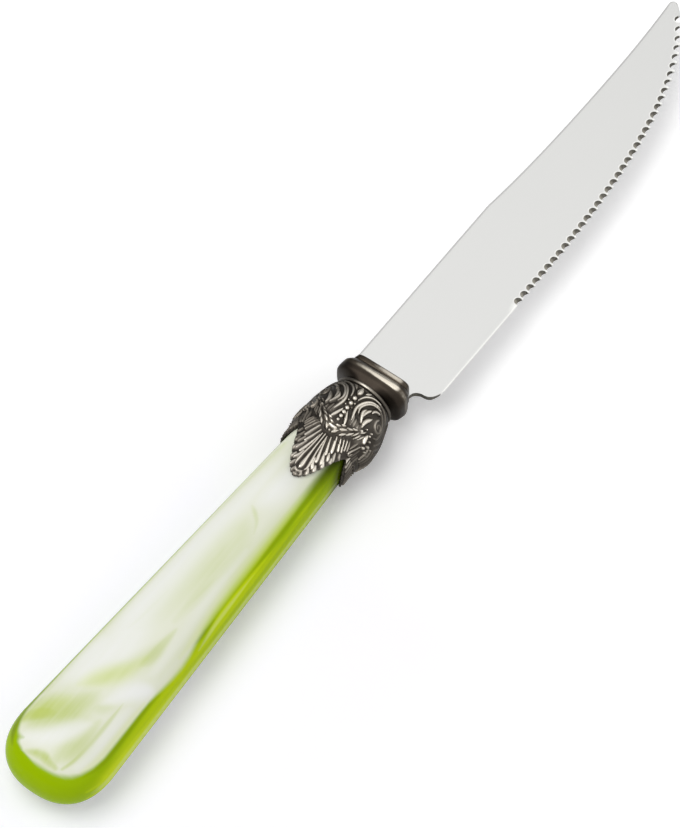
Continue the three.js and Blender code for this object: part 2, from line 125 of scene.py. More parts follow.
GARLAND = [
    ([(0, -17.95, 0.42), (4, -17.9, 0.35), (7.2, -17.78, 0.08)], 1.1),
    ([(4.4, -19.0, 0.14), (7, -18.5, 0.34), (10.4, -17.9, 0.12)], 1.1),
    ([(2.6, -17.22, 0.12), (5.6, -17.12, 0.28), (9, -16.95, 0.08)], 1.0),
    ([(11, -17.6, 0.14), (14.2, -17.25, 0.34), (18.8, -16.78, 0.12)], 1.1),
    ([(15.8, -18.55, 0.14), (18.4, -18.05, 0.31), (21.4, -17.5, 0.1)], 1.1),
    ([(23.2, -17.6, 0.12), (25.4, -17, 0.28), (28.2, -16.3, 0.1)], 1.1),
    ([(8.8, -16.55, 0.14), (11.6, -16.45, 0.26), (14.8, -16.25, 0.08)], 1.0),
    ([(17.8, -16.35, 0.12), (21.4, -16.18, 0.27), (25.2, -15.92, 0.1)], 1.0),
    ([(24, -15.65, 0.14), (27, -15.48, 0.27), (29.8, -15.2, 0.1)], 0.95),
    ([(29.2, -16.9, 0.1), (31.6, -16.1, 0.22), (33.4, -15.3, 0.08)], 0.9),
    ([(33.6, -17.1, 0.1), (35.5, -16.3, 0.22), (37.2, -15.5, 0.08)], 0.9),
    ([(36.4, -15.1, 0.1), (39, -14.6, 0.2), (41, -14.1, 0.08)], 0.85),
    ([(38.6, -16.6, 0.08), (40.6, -15.8, 0.2), (42.6, -15, 0.08)], 0.85),
    ([(45.6, -14.45, 0.2), (46.6, -15.2, 0.43), (48.8, -16.05, 0.24)], 1.15),
    ([(49.4, -17.1, 0.12), (48.2, -18.2, 0.22), (46.6, -19.3, 0.28), (46.2, -19.9, 0.1)], 0.85),
    ([(51.8, -19, 0.12), (50.8, -19.6, 0.25), (50.6, -20, 0.1)], 0.8),
    ([(54.6, -17.5, 0.1), (55.6, -18.6, 0.22), (55, -19.6, 0.1)], 0.45),
    ([(43.5, -17.0, 0.1), (43.4, -18, 0.22), (43, -18.9, 0.1)], 0.6),
    ([(59.6, -18.4, 0.1), (60.4, -19.1, 0.2), (60, -19.9, 0.1)], 0.4),
    ([(64, -18.4, 0.1), (65, -19.2, 0.26), (65.4, -20, 0.1)], 0.6),
    ([(61, -15.9, 0.1), (65.5, -17.1, 0.22), (68.5, -18.5, 0.1)], 0.9),
    ([(67, -15.4, 0.1), (71.5, -16.8, 0.24), (74.5, -18.5, 0.1)], 0.9),
    ([(73, -15.1, 0.1), (77.5, -16.6, 0.24), (80.5, -18.5, 0.1)], 0.9),
    ([(79.5, -14.9, 0.1), (83.5, -16.5, 0.24), (86.5, -18.5, 0.1)], 0.9),
    ([(90, -15, 0.12), (90, -16.6, 0.24), (90, -18.4, 0.1)], 0.62),
    ([(64, -18.9, 0.14), (72, -18.8, 0.2), (81, -18.9, 0.2), (90, -18.9, 0.2)], 0.5),
]
# Wide low swells that lift the ground between the strokes.
GROUND = [
    ([(54, -11.2, 2.7), (62, -11, 2.7)], 0.3),
    ([(72, -8, 2.2), (79, -11, 2.8), (80, -14.5, 2.4)], 0.42),
    ([(90, -8, 3.0), (90, -16, 3.0)], 0.42),
    ([(18, -14.5, 1.3), (29, -14.6, 1.3)], 0.3),
    ([(36, -15.6, 1.3), (42, -16.6, 1.3)], 0.26),
    ([(4, -17.4, 1.6), (22, -17, 1.6)], 0.24),
    ([(50, -18.4, 1.4), (62, -18.6, 1.4)], 0.08),
    ([(66, -17, 1.8), (90, -17, 1.8)], 0.14),
]
# Round bosses are (degrees, place, radius).
BEADS = [(0, -10.1, 0.6), (0, -11.55, 0.55), (0, -12.9, 0.52), (0, -14.05, 0.48), (0, -15.12, 0.46),
         (0, -16.1, 0.36)]
BERRIES = [(58.5, -15.8, 0.44), (54, -16.72, 0.42), (54.8, -14.85, 0.32), (49.4, -14.1, 0.32),
           (49.8, -13.4, 0.26), (61.6, -16.9, 0.3), (66, -15.7, 0.28), (70.5, -16.9, 0.28),
           (35.2, -14.65, 0.32), (40, -13.6, 0.2), (5.4, -11.2, 0.22), (5, -12.4, 0.19), (0, -18.95, 0.26)]
PALMETTE = [
    ([(0, -20.0, 0.15), (0, -22.5, 0.18), (0, -24.5, 0.22), (0, -26.5, 0.34), (0, -28.1, 0.46),
      (0, -28.9, 0.38)], 1.0),
    ([(4.4, -20.3, 0.13), (5, -22.3, 0.17), (6.2, -24.2, 0.2), (7.9, -26, 0.24), (9, -27.4, 0.28),
      (9.2, -28.3, 0.24), (8.2, -29, 0.1)], 0.95),
    ([(0, -30, 0.32), (3.4, -29.8, 0.3), (6.4, -29.4, 0.12)], 0.72),
    ([(6, -20.9, 0.1), (7.9, -22.3, 0.19), (10.4, -23.8, 0.28), (13, -25.1, 0.36), (14.6, -25.95, 0.32),
      (15.2, -26.3, 0.1)], 1.0),
    ([(10, -25.6, 0.12), (11.8, -26.6, 0.25), (14.2, -27.3, 0.37), (15.8, -27.8, 0.24),
      (16.2, -28.1, 0.1)], 0.95),
    ([(9.4, -19.8, 0.12), (12.8, -21.2, 0.23), (16, -22.4, 0.31), (18.8, -23.35, 0.31),
      (19.6, -23.7, 0.1)], 1.0),
    ([(16, -23.5, 0.12), (19.2, -24.4, 0.34), (21.8, -25.3, 0.42), (22.8, -25.9, 0.2)], 0.9),
    ([(14.4, -18.9, 0.12), (18.8, -20.2, 0.28), (22.4, -21.5, 0.36), (24.3, -22.3, 0.31),
      (25, -22.65, 0.1)], 1.0),
    ([(22.2, -22.8, 0.14), (25.2, -23.6, 0.35), (27.2, -24.3, 0.24)], 0.85),
    ([(19.4, -18.5, 0.08), (25.2, -19.7, 0.2), (30.2, -20.9, 0.25), (31.6, -21.35, 0.1)], 0.9),
    ([(24.2, -18.2, 0.08), (30.2, -19.4, 0.17), (35.4, -20.5, 0.2), (36.4, -20.85, 0.1)], 0.8),
    ([(29.2, -17.9, 0.08), (33.6, -18.9, 0.16), (38, -19.9, 0.19), (39, -20.2, 0.1)], 0.75),
    ([(33.6, -17.7, 0.08), (37.4, -18.5, 0.15), (41, -19.3, 0.18), (42.6, -19.7, 0.1)], 0.65),
    ([(29.6, -21.9, 0.18), (33, -23, 0.33), (35.2, -23.7, 0.16)], 0.75),
    ([(36.6, -21.3, 0.16), (39.5, -21.9, 0.28), (41.8, -22.3, 0.12)], 0.7),
    ([(0, -30.5, 0.24), (2, -30.8, 0.3), (3.4, -30.7, 0.2)], 0.6),
    ([(6, -29.7, 0.2), (7.2, -30.2, 0.34), (7.6, -30.45, 0.26)], 0.7),
    ([(12, -28.3, 0.2), (13.6, -29.05, 0.4), (14.4, -29.45, 0.3)], 0.8),
    ([(17.6, -26.8, 0.2), (19.6, -27.55, 0.42), (20.4, -27.9, 0.32)], 0.85),
    ([(23.4, -25, 0.2), (25.8, -25.75, 0.42), (26.8, -26.1, 0.32)], 0.85),
    ([(30.2, -23.3, 0.2), (32.2, -24, 0.36), (33.2, -24.25, 0.26)], 0.75),
    ([(54.6, -20, 0.16), (53.8, -20.7, 0.3), (54.4, -21.5, 0.14)], 1.2),
    ([(59, -20.2, 0.14), (60.4, -21, 0.26), (61.4, -21.9, 0.12)], 1.0),
    ([(65.4, -19.9, 0.14), (67.4, -21, 0.26), (68.8, -22.3, 0.12)], 1.0),
    ([(73, -19.8, 0.14), (75, -21.2, 0.28), (76.4, -22.6, 0.12)], 1.0),
    ([(81.4, -19.7, 0.14), (82.6, -21.3, 0.28), (83.6, -22.9, 0.12)], 1.0),
    ([(90, -19.6, 0.16), (90, -21.5, 0.3), (90, -23.2, 0.16)], 1.0),
]
# The bud in front of the beads.
BUD = [([(0, -7.1, 0.3), (0, -7.8, 0.62), (0, -8.35, 0.6), (0, -9.05, 0.1)], 1.2)]
# Where the ribs of the leaf start, as (degrees, place).
RIB_START = [(0, -19.5), (8, -19.3), (14, -18.6), (20, -17.9), (34, -17.5), (46, -18.6), (90, -19.2)]
# Notches between the lobes of the leaf edges, as (degrees, depth).
NOTCHES = [(4.6, 0.3), (10.6, 0.5), (17, 0.6), (23.4, 0.6), (29.6, 0.55), (36.6, 0.5), (57.4, 0.25),
           (64, 0.25), (71.6, 0.25), (79.2, 0.25), (86.6, 0.25)]
# Half width of a notch in degrees, and the width of the leaves' raised margin.
NOTCH_SPREAD = 1.3
LEAF_MARGIN = 0.8

# The handle's marbling is painted on its own unrolled plan in the same way.
MARBLE_RADIUS = 9.0
HAZE = [
    ([(-52, -104.8, 1.0), (-45, -103.4, 1.8), (-36, -102, 2.7), (-26, -100.9, 3.1), (-16, -99.7, 3.0),
      (-8, -97.7, 2.3), (-1, -95, 1.5), (4, -91.4, 0.2)], 0.78),
    ([(-50, -104.6, 0.8), (-42, -103.2, 1.4), (-32, -102, 1.6), (-22, -101, 1.4), (-12, -99.4, 0.5)], 1.0),
    ([(-48, -100, 1.6), (-32, -97.6, 2.8), (-16, -95, 2.4), (-6, -92, 1.0)], 0.26),
    ([(0, -97, 0.7), (10, -95.6, 1.0), (20, -94, 0.8), (31, -92, 0.2)], 0.34),
    ([(-24, -109.9, 0.3), (-12, -109.4, 0.55), (0, -109.1, 0.7), (12, -109.4, 0.6),
      (22, -109.6, 0.4)], 0.75),
    ([(14, -108.4, 0.8), (20, -106, 1.4), (24, -103, 1.4), (25, -100, 1.0), (24, -97, 0.4)], 0.62),
    ([(28, -109, 0.25), (30.4, -106, 0.34), (31.2, -101, 0.36), (31.6, -96, 0.3), (31, -91, 0.1)], 0.75),
    ([(-16, -92.5, 0.5), (-8, -90, 1.1), (2, -87, 1.3), (10, -84.4, 1.3), (17, -81.6, 1.3),
      (21.5, -78.4, 1.0), (23.5, -75.4, 0.6), (24, -72.8, 0.2)], 0.42),
    ([(16, -83.6, 0.4), (20, -81.4, 0.9), (22.6, -78.6, 0.9), (23.6, -75.6, 0.6),
      (24, -72.2, 0.24)], 0.62),
    ([(-22, -77.5, 0.2), (-19, -74, 0.36), (-17, -69, 0.36), (-15, -64, 0.2)], 0.3),
    ([(-10, -76, 0.8), (-8, -70, 2.0), (-2, -64, 2.6), (4, -58, 3.2), (7, -52, 3.2), (6, -47.4, 2.4),
      (4, -44.6, 1.0)], 0.3),
    ([(22, -46.2, 0.2), (15, -44, 0.34), (8, -42.9, 0.4), (0, -42, 0.36), (-7, -41.4, 0.2)], 0.36),
    ([(15, -71, 0.5), (17, -62, 1.2), (18, -54, 0.5)], 0.3),
    ([(46, -82, 0.6), (43, -74, 1.4), (42, -62, 1.6), (41, -48, 1.6), (41, -36, 1.4),
      (42, -28, 1.0)], 0.2),
    ([(-52, -97, 1.2), (-54, -85, 1.0), (-55, -70, 1.0), (-52, -50, 0.9), (-48, -34, 1.0),
      (-44, -26, 0.9)], 0.3),
]
MILK = [
    ([(-40, -108.4, 0.5), (-30, -107.5, 0.9), (-18, -106.8, 1.2), (-6, -105.2, 1.4), (4, -102.6, 1.4),
      (11, -100.4, 1.1), (17, -99, 0.6), (22, -98.4, 0.2)], 0.75),
    ([(14, -94, 0.3), (23, -90.6, 1.0), (30, -88.4, 1.3), (37, -86.8, 1.3), (44, -85.6, 1.0),
      (51, -84.6, 0.3)], 0.95),
    ([(38, -107, 0.6), (38, -102, 0.9), (38.5, -96, 0.9), (40, -91, 0.5)], 0.5),
    ([(-40, -96, 0.6), (-34, -91, 2.2), (-26, -85, 3.2), (-16, -80.5, 3.0), (-26, -72, 2.8),
      (-29, -62, 2.6), (-30, -52, 2.4), (-28, -44, 2.2), (-24, -36, 2.0), (-22, -29, 0.8)], 0.75),
    ([(-8, -40.6, 0.4), (0, -39, 1.8), (6, -36, 2.6), (8, -32.4, 2.2), (10, -28, 0.8)], 0.7),
    ([(32, -84, 0.2), (36, -80, 0.7), (34, -72, 0.8), (30, -62, 0.8), (28, -50, 0.4)], 0.35),
]
# Bright and dark streaks in the clear green, partly its own colour and partly painted light and shade.
GLOW = [
    ([(-20, -93, 0.4), (-12, -91, 1.1), (-3, -88.8, 1.4), (6, -86.4, 1.3), (13, -84, 0.9),
      (19, -80.6, 0.4)], 0.5),
    ([(-46, -104, 0.8), (-36, -101.5, 1.4), (-26, -99, 1.2), (-18, -96.6, 0.6)], 0.25),
    ([(46, -107, 0.3), (49, -103, 0.5), (50, -95, 0.5), (51, -88, 0.3)], 0.4),
    ([(80, -108, 0.5), (81, -103, 1.0), (80, -96, 1.1), (78, -90, 0.9), (75, -84, 0.3)], 0.75),
    ([(70, -86, 0.3), (70, -78, 0.6), (68, -72, 0.3)], 0.3),
    ([(67, -71.5, 0.2), (63.5, -68, 0.5), (61, -64, 0.7), (60, -58, 0.7), (60, -51, 0.5),
      (61, -42, 0.1)], 0.95),
    ([(61, -42, 0.2), (61, -36, 0.5), (61, -30, 0.45), (62, -25, 0.2)], 0.5),
    ([(50, -76, 0.3), (48, -66, 0.8), (46, -56, 1.0), (45, -46, 1.0), (44, -37, 0.8),
      (43, -28, 0.3)], 0.55),
    ([(70, -104, 0.6), (69, -92, 1.2), (68, -78, 1.3), (68, -62, 1.3), (67, -48, 1.1),
      (66, -34, 0.6)], 0.62),
]
SHADE = [
    ([(55, -54, 0.1), (53.5, -46, 0.5), (53, -38, 0.6), (52.5, -32, 0.7), (53, -25, 0.8)], 0.6),
    ([(79, -86, 0.2), (78, -76, 0.6), (78, -66, 0.7), (77, -56, 0.7), (76, -46, 0.8), (76, -34, 1.0),
      (76, -24, 1.1)], 0.4),
    ([(-50, -109.4, 0.4), (-56, -106.4, 0.8), (-58, -101, 0.8), (-61, -96, 0.7), (-65, -90, 0.7),
      (-66, -60, 0.7), (-66, -22, 0.7)], 1.0),
    ([(52, -107.6, 0.2), (57, -103, 0.45), (57.5, -95, 0.5), (57.5, -88, 0.45), (61, -84, 0.2)], 0.55),
    ([(53, -72.5, 0.2), (55, -69.4, 0.45), (55, -65, 0.2)], 0.6),
]
# Pale threads that the pearl draws into the green, and its pale lower rim,
# which is a painted reflection of the white floor.
THREADS = [
    ([(67, -71.5, 0.15), (64, -68.5, 0.3), (61.5, -65, 0.34), (60.5, -60, 0.32), (60, -52, 0.06)], 0.36),
    ([(88, -107.5, 0.1), (88, -102, 0.5), (88, -86, 0.6), (88, -60, 0.5), (88, -40, 0.45),
      (88, -24, 0.4)], 0.3),
]
# A bay that the clear green cuts into the pearl.
BAYS = [([(-50, -108.3, 0.7), (-43, -108.1, 0.5), (-33, -107.9, 0.15)], 1.0)]
# The pearl's borders and their softness, as (place, degrees), and the limits of the upper one's softness.
LOWER_BORDER = [(-111.2, 4), (-110.8, 20), (-110, 33), (-109, 41.5), (-107.5, 47), (-105, 51), (-102, 53),
                (-98, 53.4), (-90, 53.4), (-87, 54), (-85, 55.4), (-83, 57.6), (-80, 60.4), (-77, 61.5),
                (-74, 59), (-71, 53.5), (-68, 50), (-64, 47.5), (-58, 46), (-50, 45), (-42, 44), (-35, 43),
                (-28, 42), (-20, 41)]
UPPER_BORDER = [(-111.2, 0), (-110.6, -15), (-110, -28), (-109, -38), (-107, -45), (-105, -50), (-102, -54),
                (-98, -56), (-92, -57.5), (-80, -58.5), (-20, -58.5)]
BORDER_SOFTNESS = [(-110.6, 26), (-109, 15), (-107.5, 9), (-104, 6), (-88, 4.4), (-83, 9), (-76, 13),
                   (-70, 11), (-64, 14), (-56, 17), (-45, 17), (-20, 17)]
UPPER_SOFTNESS = (8, 11)

# Where the mesh follows a gullet across its width, as shares of its radius.
GULLET_SHARES = (-1.0, -0.999, -0.96, -0.86, -0.7, -0.5, -0.25, 0, 0.25, 0.5, 0.7, 0.86, 0.96, 0.999, 1.0)
# The collar's outside: place, how far it lies inside the width on the spine's side and on the edge's side and
# inside the thickness, the power of its oval, and how far its patina is rubbed off, which also
# paints the crest's highlight.
COLLAR_PROFILE = [
    (0.42, 2.3, 1.7, 1.75, 7, 0.3), (0.4, 2.15, 1.55, 1.57, 7, 0.5), (0.28, 2.05, 1.48, 1.46, 7, 0.7),
    (0.1, 2.0, 1.42, 1.4, 6.6, 0.8), (-0.15, 1.92, 1.36, 1.36, 6.4, 0.8),
    (-0.45, 1.82, 1.26, 1.33, 6.2, 0.74), (-0.6, 1.78, 1.2, 1.33, 6, 0.5), (-0.72, 1.8, 1.23, 1.4, 6, 0.3),
    (-0.86, 1.76, 1.18, 1.4, 6, 0.3), (-0.98, 1.58, 0.85, 1.2, 5.8, 0.6), (-1.2, 1.4, 0.7, 0.96, 5.4, 0.66),
    (-1.45, 1.18, 0.56, 0.7, 5, 0.66), (-1.7, 0.95, 0.44, 0.44, 4.6, 0.72),
    (-1.9, 0.76, 0.36, 0.26, 4.3, 0.9), (-2.1, 0.6, 0.28, 0.14, 4.1, 1.1),
    (-2.3, 0.48, 0.22, 0.07, 3.8, 1.15), (-2.5, 0.38, 0.18, 0.03, 3.6, 1.15),
    (-2.7, 0.3, 0.16, 0.01, 3.4, 1.1), (-2.9, 0.24, 0.15, 0.0, 3.2, 0.85),
    (-3.2, 0.16, 0.16, 0.0, 3.1, 0.26), (-3.6, 0.1, 0.22, 0.03, 3.0, 0.12),
    (-4.0, 0.14, 0.32, 0.1, 3.0, 0.1), (-4.3, 0.34, 0.5, 0.24, 3.0, 0.06),
]
# Rows of the ferrule's mesh from front to back and inwards.
RING_ROWS, BULB_ROWS, LEAF_ROWS, LINING_ROWS = 10, 108, 66, 8


def length(name, description, millimetres):
    """A length that a user may change."""
    return FloatProperty(
        name=name, description=description, default=millimetres * MM, min=0, precision=5,
        subtype="DISTANCE", unit="LENGTH",
    )


def number(name, description, value):
    """A plain number that a user may change."""
    return FloatProperty(name=name, description=description, default=value, min=0)


def watts(name, description, value):
    """A lamp's power that a user may change."""
    return FloatProperty(name=name, description=description, default=value, min=0, unit="POWER")


def turn(name, description, degrees):
    """An angle that a user may change."""
    return FloatProperty(name=name, description=description, default=math.radians(degrees), subtype="ANGLE")


def colour(name, description, rgb):
    """A colour that a user may change."""
    return FloatVectorProperty(
        name=name, description=description, default=rgb, min=0, max=1, size=3, subtype="COLOR"
    )


class BladeSettings(bpy.types.PropertyGroup):
    """Sizes and colours of the blade and its tang."""

    reach: length("Length", "Collar face to tip", 107)
    spine_height: length("Spine height", "Axis to the straight stretch of the spine", 6.9)
    spine_straight: length("Straight spine", "Collar face to the end of the straight stretch", 45)
    spine_rise: length("Spine rise", "Lowest point of the spine to the tip", 21)
    spine_dip: length("Spine dip", "Drop of the spine to its lowest point", 1.7)
    spine_bend: length("Spine bend", "Length of the bend in which most of the drop happens", 15)
    spine_round: length("Spine round", "Rounding of the spine's two corners", 0.5)
    spine_drop: length("Spine drop", "How far the rounding lowers the spine's corners", 0.055)
    edge_depth: length("Edge depth", "Axis to the plain stretch of the cutting edge", 11.5)
    plain_edge: length("Plain edge", "Collar face to the end of the plain edge", 28.8)
    belly_lead: length("Belly lead", "Lead of the belly's curve along the plain edge", 5.4)
    belly_sweep: length("Belly sweep", "Lead of the belly's curve at the tip", 24.3)
    belly_angle: turn("Belly angle", "Rise of the edge where it meets the tip", 49.3)
    tip_height: length("Tip height", "Axis to the middle of the rounded tip", 4.9)
    tip_radius: length("Tip radius", "Radius of the rounded tip", 1)
    heel_set: length("Heel set", "Heel ahead of the collar face", 1.6)
    heel_curl: length("Heel curl", "Height of the hollow between the collar and the heel", 2.2)
    heel_run: length("Heel run", "Length of the rounded heel corner", 3.7)
    heel_rise: length("Heel rise", "Height of the rounded heel corner", 2.6)
    thickness: length("Thickness", "Thickness of the blade", 1.2)
    edge_bevel: length("Edge bevel", "Width of the fine bevel on the upper face", 0.3)
    bevel_drop: length("Bevel drop", "Depth of the fine bevel", 0.1)
    edge_land: length("Edge land", "Thickness left at the edge", 0.4)
    hollow: length("Hollow", "Width of the grinding on the lower face", 1.3)
    tooth_pitch: length("Tooth pitch", "Distance of the teeth along the axis", 2)
    first_gullet: length("First gullet", "End of the plain edge to the first gullet", 1.4)
    last_tooth: length("Last tooth", "Last gullet to the tip, at least", 2.7)
    gullet_radius: length("Gullet radius", "Radius of the gullets", 0.83)
    scoop: length("Scoop", "How much deeper the gullets are ground on the upper face", 0.18)
    gullet_slope: length("Gullet slope", "How much shallower the gullets are on the lower face", 0.5)
    steep_run: length("Steep run", "Length next to the tip in which the gullets are cut straight through", 13)
    rim_glint: length("Rim glint", "Width of the bright rims of the gullets", 0.35)
    gullet_inset: length("Gullet inset", "Edge to the gullet's centre", 0.3)
    seat_depth: length("Seat depth", "Depth of the blade's foot in the collar", 2.2)
    tang_width: length("Tang width", "Width of the tang", 6)
    tang_end_width: length("Tang end width", "Width of the tang at its end", 4.4)
    tang_length: length("Tang length", "Collar face to the tang's end", 68)
    tang_taper: length("Tang taper", "Length over which the tang narrows", 24)
    tang_step: length("Tang step", "How far the tang's faces lie below the blade's", 0.05)
    steel: colour("Steel", "Satin faces of the blade", (0.765, 0.765, 0.75))
    # The ground steel is dark partly as painted shade in the gullets and on the heel.
    ground: colour("Ground steel", "Walls of the gullets and the heel", (0.2, 0.19, 0.165))


class CollarSettings(bpy.types.PropertyGroup):
    """Sizes and colours of the cast collar."""

    width: length("Width", "Width of the collar across the blade", 16)
    lean: length("Lean", "How far the collar's body stands out towards the spine", 0.25)
    thickness: length("Thickness", "Thickness of the collar", 10.9)
    body: length("Body", "Front face to where the collar starts to neck in", 3.9)
    neck: length("Neck", "Length of the neck", 1.7)
    neck_thickness: length("Neck thickness", "Thickness where the collar meets the ferrule", 9.8)
    boss_thickness: length("Boss thickness", "Thickness of the boss in the ferrule's hole", 8.6)
    boss_length: length("Boss length", "Length of the boss", 1.2)
    aspect: number("Aspect", "Width over thickness of the neck and the boss", 1.085)
    fit_gap: length("Fit gap", "Clearance round the blade's foot and the tang", 0.2)
    slot_width: length("Slot width", "Width of the tang in its slot", 6)
    slot_thickness: length("Slot thickness", "Thickness of the tang and the foot", 1.1)
    seat_width: length("Seat width", "Width of the blade's foot in its seat", 13.6)
    seat_shift: length("Seat shift", "Axis to the seat's middle, towards the spine", 0.1)
    seat_depth: length("Seat depth", "Front face to the end of the blade's foot", 2.2)
    lip_depth: length("Lip depth", "Front face to the back of the lip", 1.2)
    mouth_width: length("Mouth width", "Width of the opening in the lip", 11.2)
    dark: colour("Patina", "Dark patina in the hollows", (0.032, 0.0255, 0.02))
    middle: colour("Worn patina", "Patina that is partly rubbed off", (0.08, 0.066, 0.051))
    # The rubbed metal is bright enough to paint the crest's highlight too.
    bright: colour("Rubbed metal", "Metal where the patina is rubbed off", (0.86, 0.79, 0.67))


class FerruleSettings(bpy.types.PropertyGroup):
    """Sizes and colours of the ornamental ferrule."""

    front: length("Front", "Thickness of the front face", 11)
    face: length("Face", "Width of the flat ring where the collar butts", 1)
    wall: length("Wall", "Thickness of the front wall", 1.6)
    aspect: number("Aspect", "Width over thickness", 1.085)
    ring_thickness: length("Ring", "Thickness of the thin ring behind the front face", 11.9)
    ring_length: length("Ring length", "Length of the thin ring", 0.9)
    bulb_thickness: length("Bulb", "Thickness of the bulb", 15.4)
    side_swell: length("Side swell", "How much the bulb swells towards the cutting edge's side", 0.72)
    knot_swell: length("Knot swell", "How much the garland's end stands out on the spine's side", 0.5)
    bulb_flat: length("Bulb flat", "Depth of the two flats on which the bulb lies", 0.12)
    bulb_front: length("Bulb front", "Front face to the widest place", 10)
    bulb_back: length("Bulb back", "Widest place to the handle's shoulder", 4.3)
    skirt: length("Skirt", "Shoulder to the lowest places between the leaves", 1)
    fit_gap: length("Fit gap", "Clearance round the tenon and its shoulder", 0.2)
    leaf_gap: length("Leaf gap", "Clearance between the leaves and the handle", 0.2)
    leaf_thickness: length("Leaf thickness", "Thickness of the leaves", 0.7)
    leaf_round: length("Leaf round", "How far the leaves' edge is rounded down", 0.16)
    leaf_length: length("Leaf length", "The two large leaves past the skirt", 10.4)
    leaf_spread: turn("Leaf spread", "Half of a large leaf round the ferrule", 52)
    leaf_fullness: number("Leaf fullness", "Power of a large leaf's outline", 1.6)
    side_leaf_length: length("Side leaf length", "The two small leaves past the skirt", 2.9)
    side_leaf_fullness: number("Side leaf fullness", "Power of a small leaf's outline", 0.7)
    relief: length("Relief", "Depth of the ornament on the bulb", 0.55)
    leaf_relief: length("Leaf relief", "Depth of the ribs on the leaves", 0.42)
    dark: colour("Patina", "Dark patina in the hollows", (0.05, 0.044, 0.037))
    middle: colour("Worn patina", "Patina that is partly rubbed off", (0.19, 0.17, 0.142))
    bright: colour("Rubbed metal", "Metal where the patina is rubbed off", (0.72, 0.67, 0.585))


class HandleSettings(bpy.types.PropertyGroup):
    """Sizes and colours of the acrylic handle."""

    reach: length("Length", "Shoulder to butt", 93.4)
    front_width: length("Front width", "Width at the shoulder", 13.2)
    front_thickness: length("Front thickness", "Thickness at the shoulder", 12.8)
    butt_width: length("Butt width", "Width where the butt starts to round", 21.8)
    butt_thickness: length("Butt thickness", "Thickness where the butt starts to round", 15.2)
    squareness: number("Squareness", "Power of the oval section", 2.25)
    butt_round: length("Butt round", "Length of the rounded butt", 11.6)
    butt_plan: number("Butt plan", "Power of the butt's round seen from above", 2.45)
    butt_side: number("Butt side", "Power of the butt's round seen from the side", 2.3)
    tenon_step: length("Tenon step", "Shoulder round the tenon", 1.2)
    glue_bed: length("Glue bed", "Ferrule's front wall to the tenon", 2.4)
    bore_radius: length("Bore radius", "Radius of the bore for the tang", 4.05)
    bore_end: length("Bore end", "Collar face to the end of the bore", 70)
    dusk_reach: length("Dusk reach", "How far the ferrule's dark reflection reaches over the handle", 3.0)
    pearl: colour("Pearl", "Pearly white of the broad sides", (0.87, 0.89, 0.74))
    milk: colour("Milk", "White folds in the pearl", (0.965, 0.972, 0.95))
    haze: colour("Haze", "Green clouds in the pearl", (0.56, 0.66, 0.19))
    lime: colour("Lime", "Clear green of the narrow sides", (0.35, 0.53, 0.001))
    glow: colour("Glow", "Brighter green along the lower rims", (0.68, 0.82, 0.006))
    shade: colour("Shade", "Darker green next to the ferrule and along the borders", (0.23, 0.34, 0.003))


class StageSettings(bpy.types.PropertyGroup):
    """Floor, lamps and camera."""

    floor_colour: colour("Floor", "Colour of the floor", (0.97, 0.97, 0.97))
    floor_lift: colour("Floor lift", "Glow of the floor that only the camera sees", (0.15, 0.137, 0.212))
    far_lift: colour("Far lift", "The same away from the knife", (0.24, 0.24, 0.24))
    ferrule_lift: colour("Ferrule lift", "The same under the ferrule", (0.18, 0.18, 0.182))
    blade_lift: colour("Blade lift", "The same under the blade", (0.3, 0.298, 0.303))
    sky: number("Sky", "Strength of the even light from all round", 0.45)
    horizon: number("Horizon", "Strength of what metal mirrors near the horizon", 0.16)
    lean: number("Lean", "How far the mirrored light leans towards the cutting edge's side", 0.45)
    overhead_power: watts("Overhead", "Power of the overhead lamp", 5.35)
    fill_power: watts("Fill", "Power of the fill lamp", 1.5)
    distance: length("Camera distance", "Camera to the knife", 1600)
    elevation: turn("Elevation", "Camera above the floor", 58.4404)
    azimuth: turn("Azimuth", "Camera's heading round the knife", 53.6688)
    focal_pixels: number("Focal length", "Focal length in pixels of the picture", 8186.97)


def in_millimetres(group):
    """A property group's values, with its lengths in millimetres."""
    values = {}
    for prop in group.bl_rna.properties:
        if prop.identifier in ("rna_type", "name"):
            continue
        value = getattr(group, prop.identifier)
        if prop.subtype == "COLOR":
            value = tuple(value)
        elif prop.unit == "LENGTH":
            value /= MM
        values[prop.identifier] = value
    return SimpleNamespace(**values)


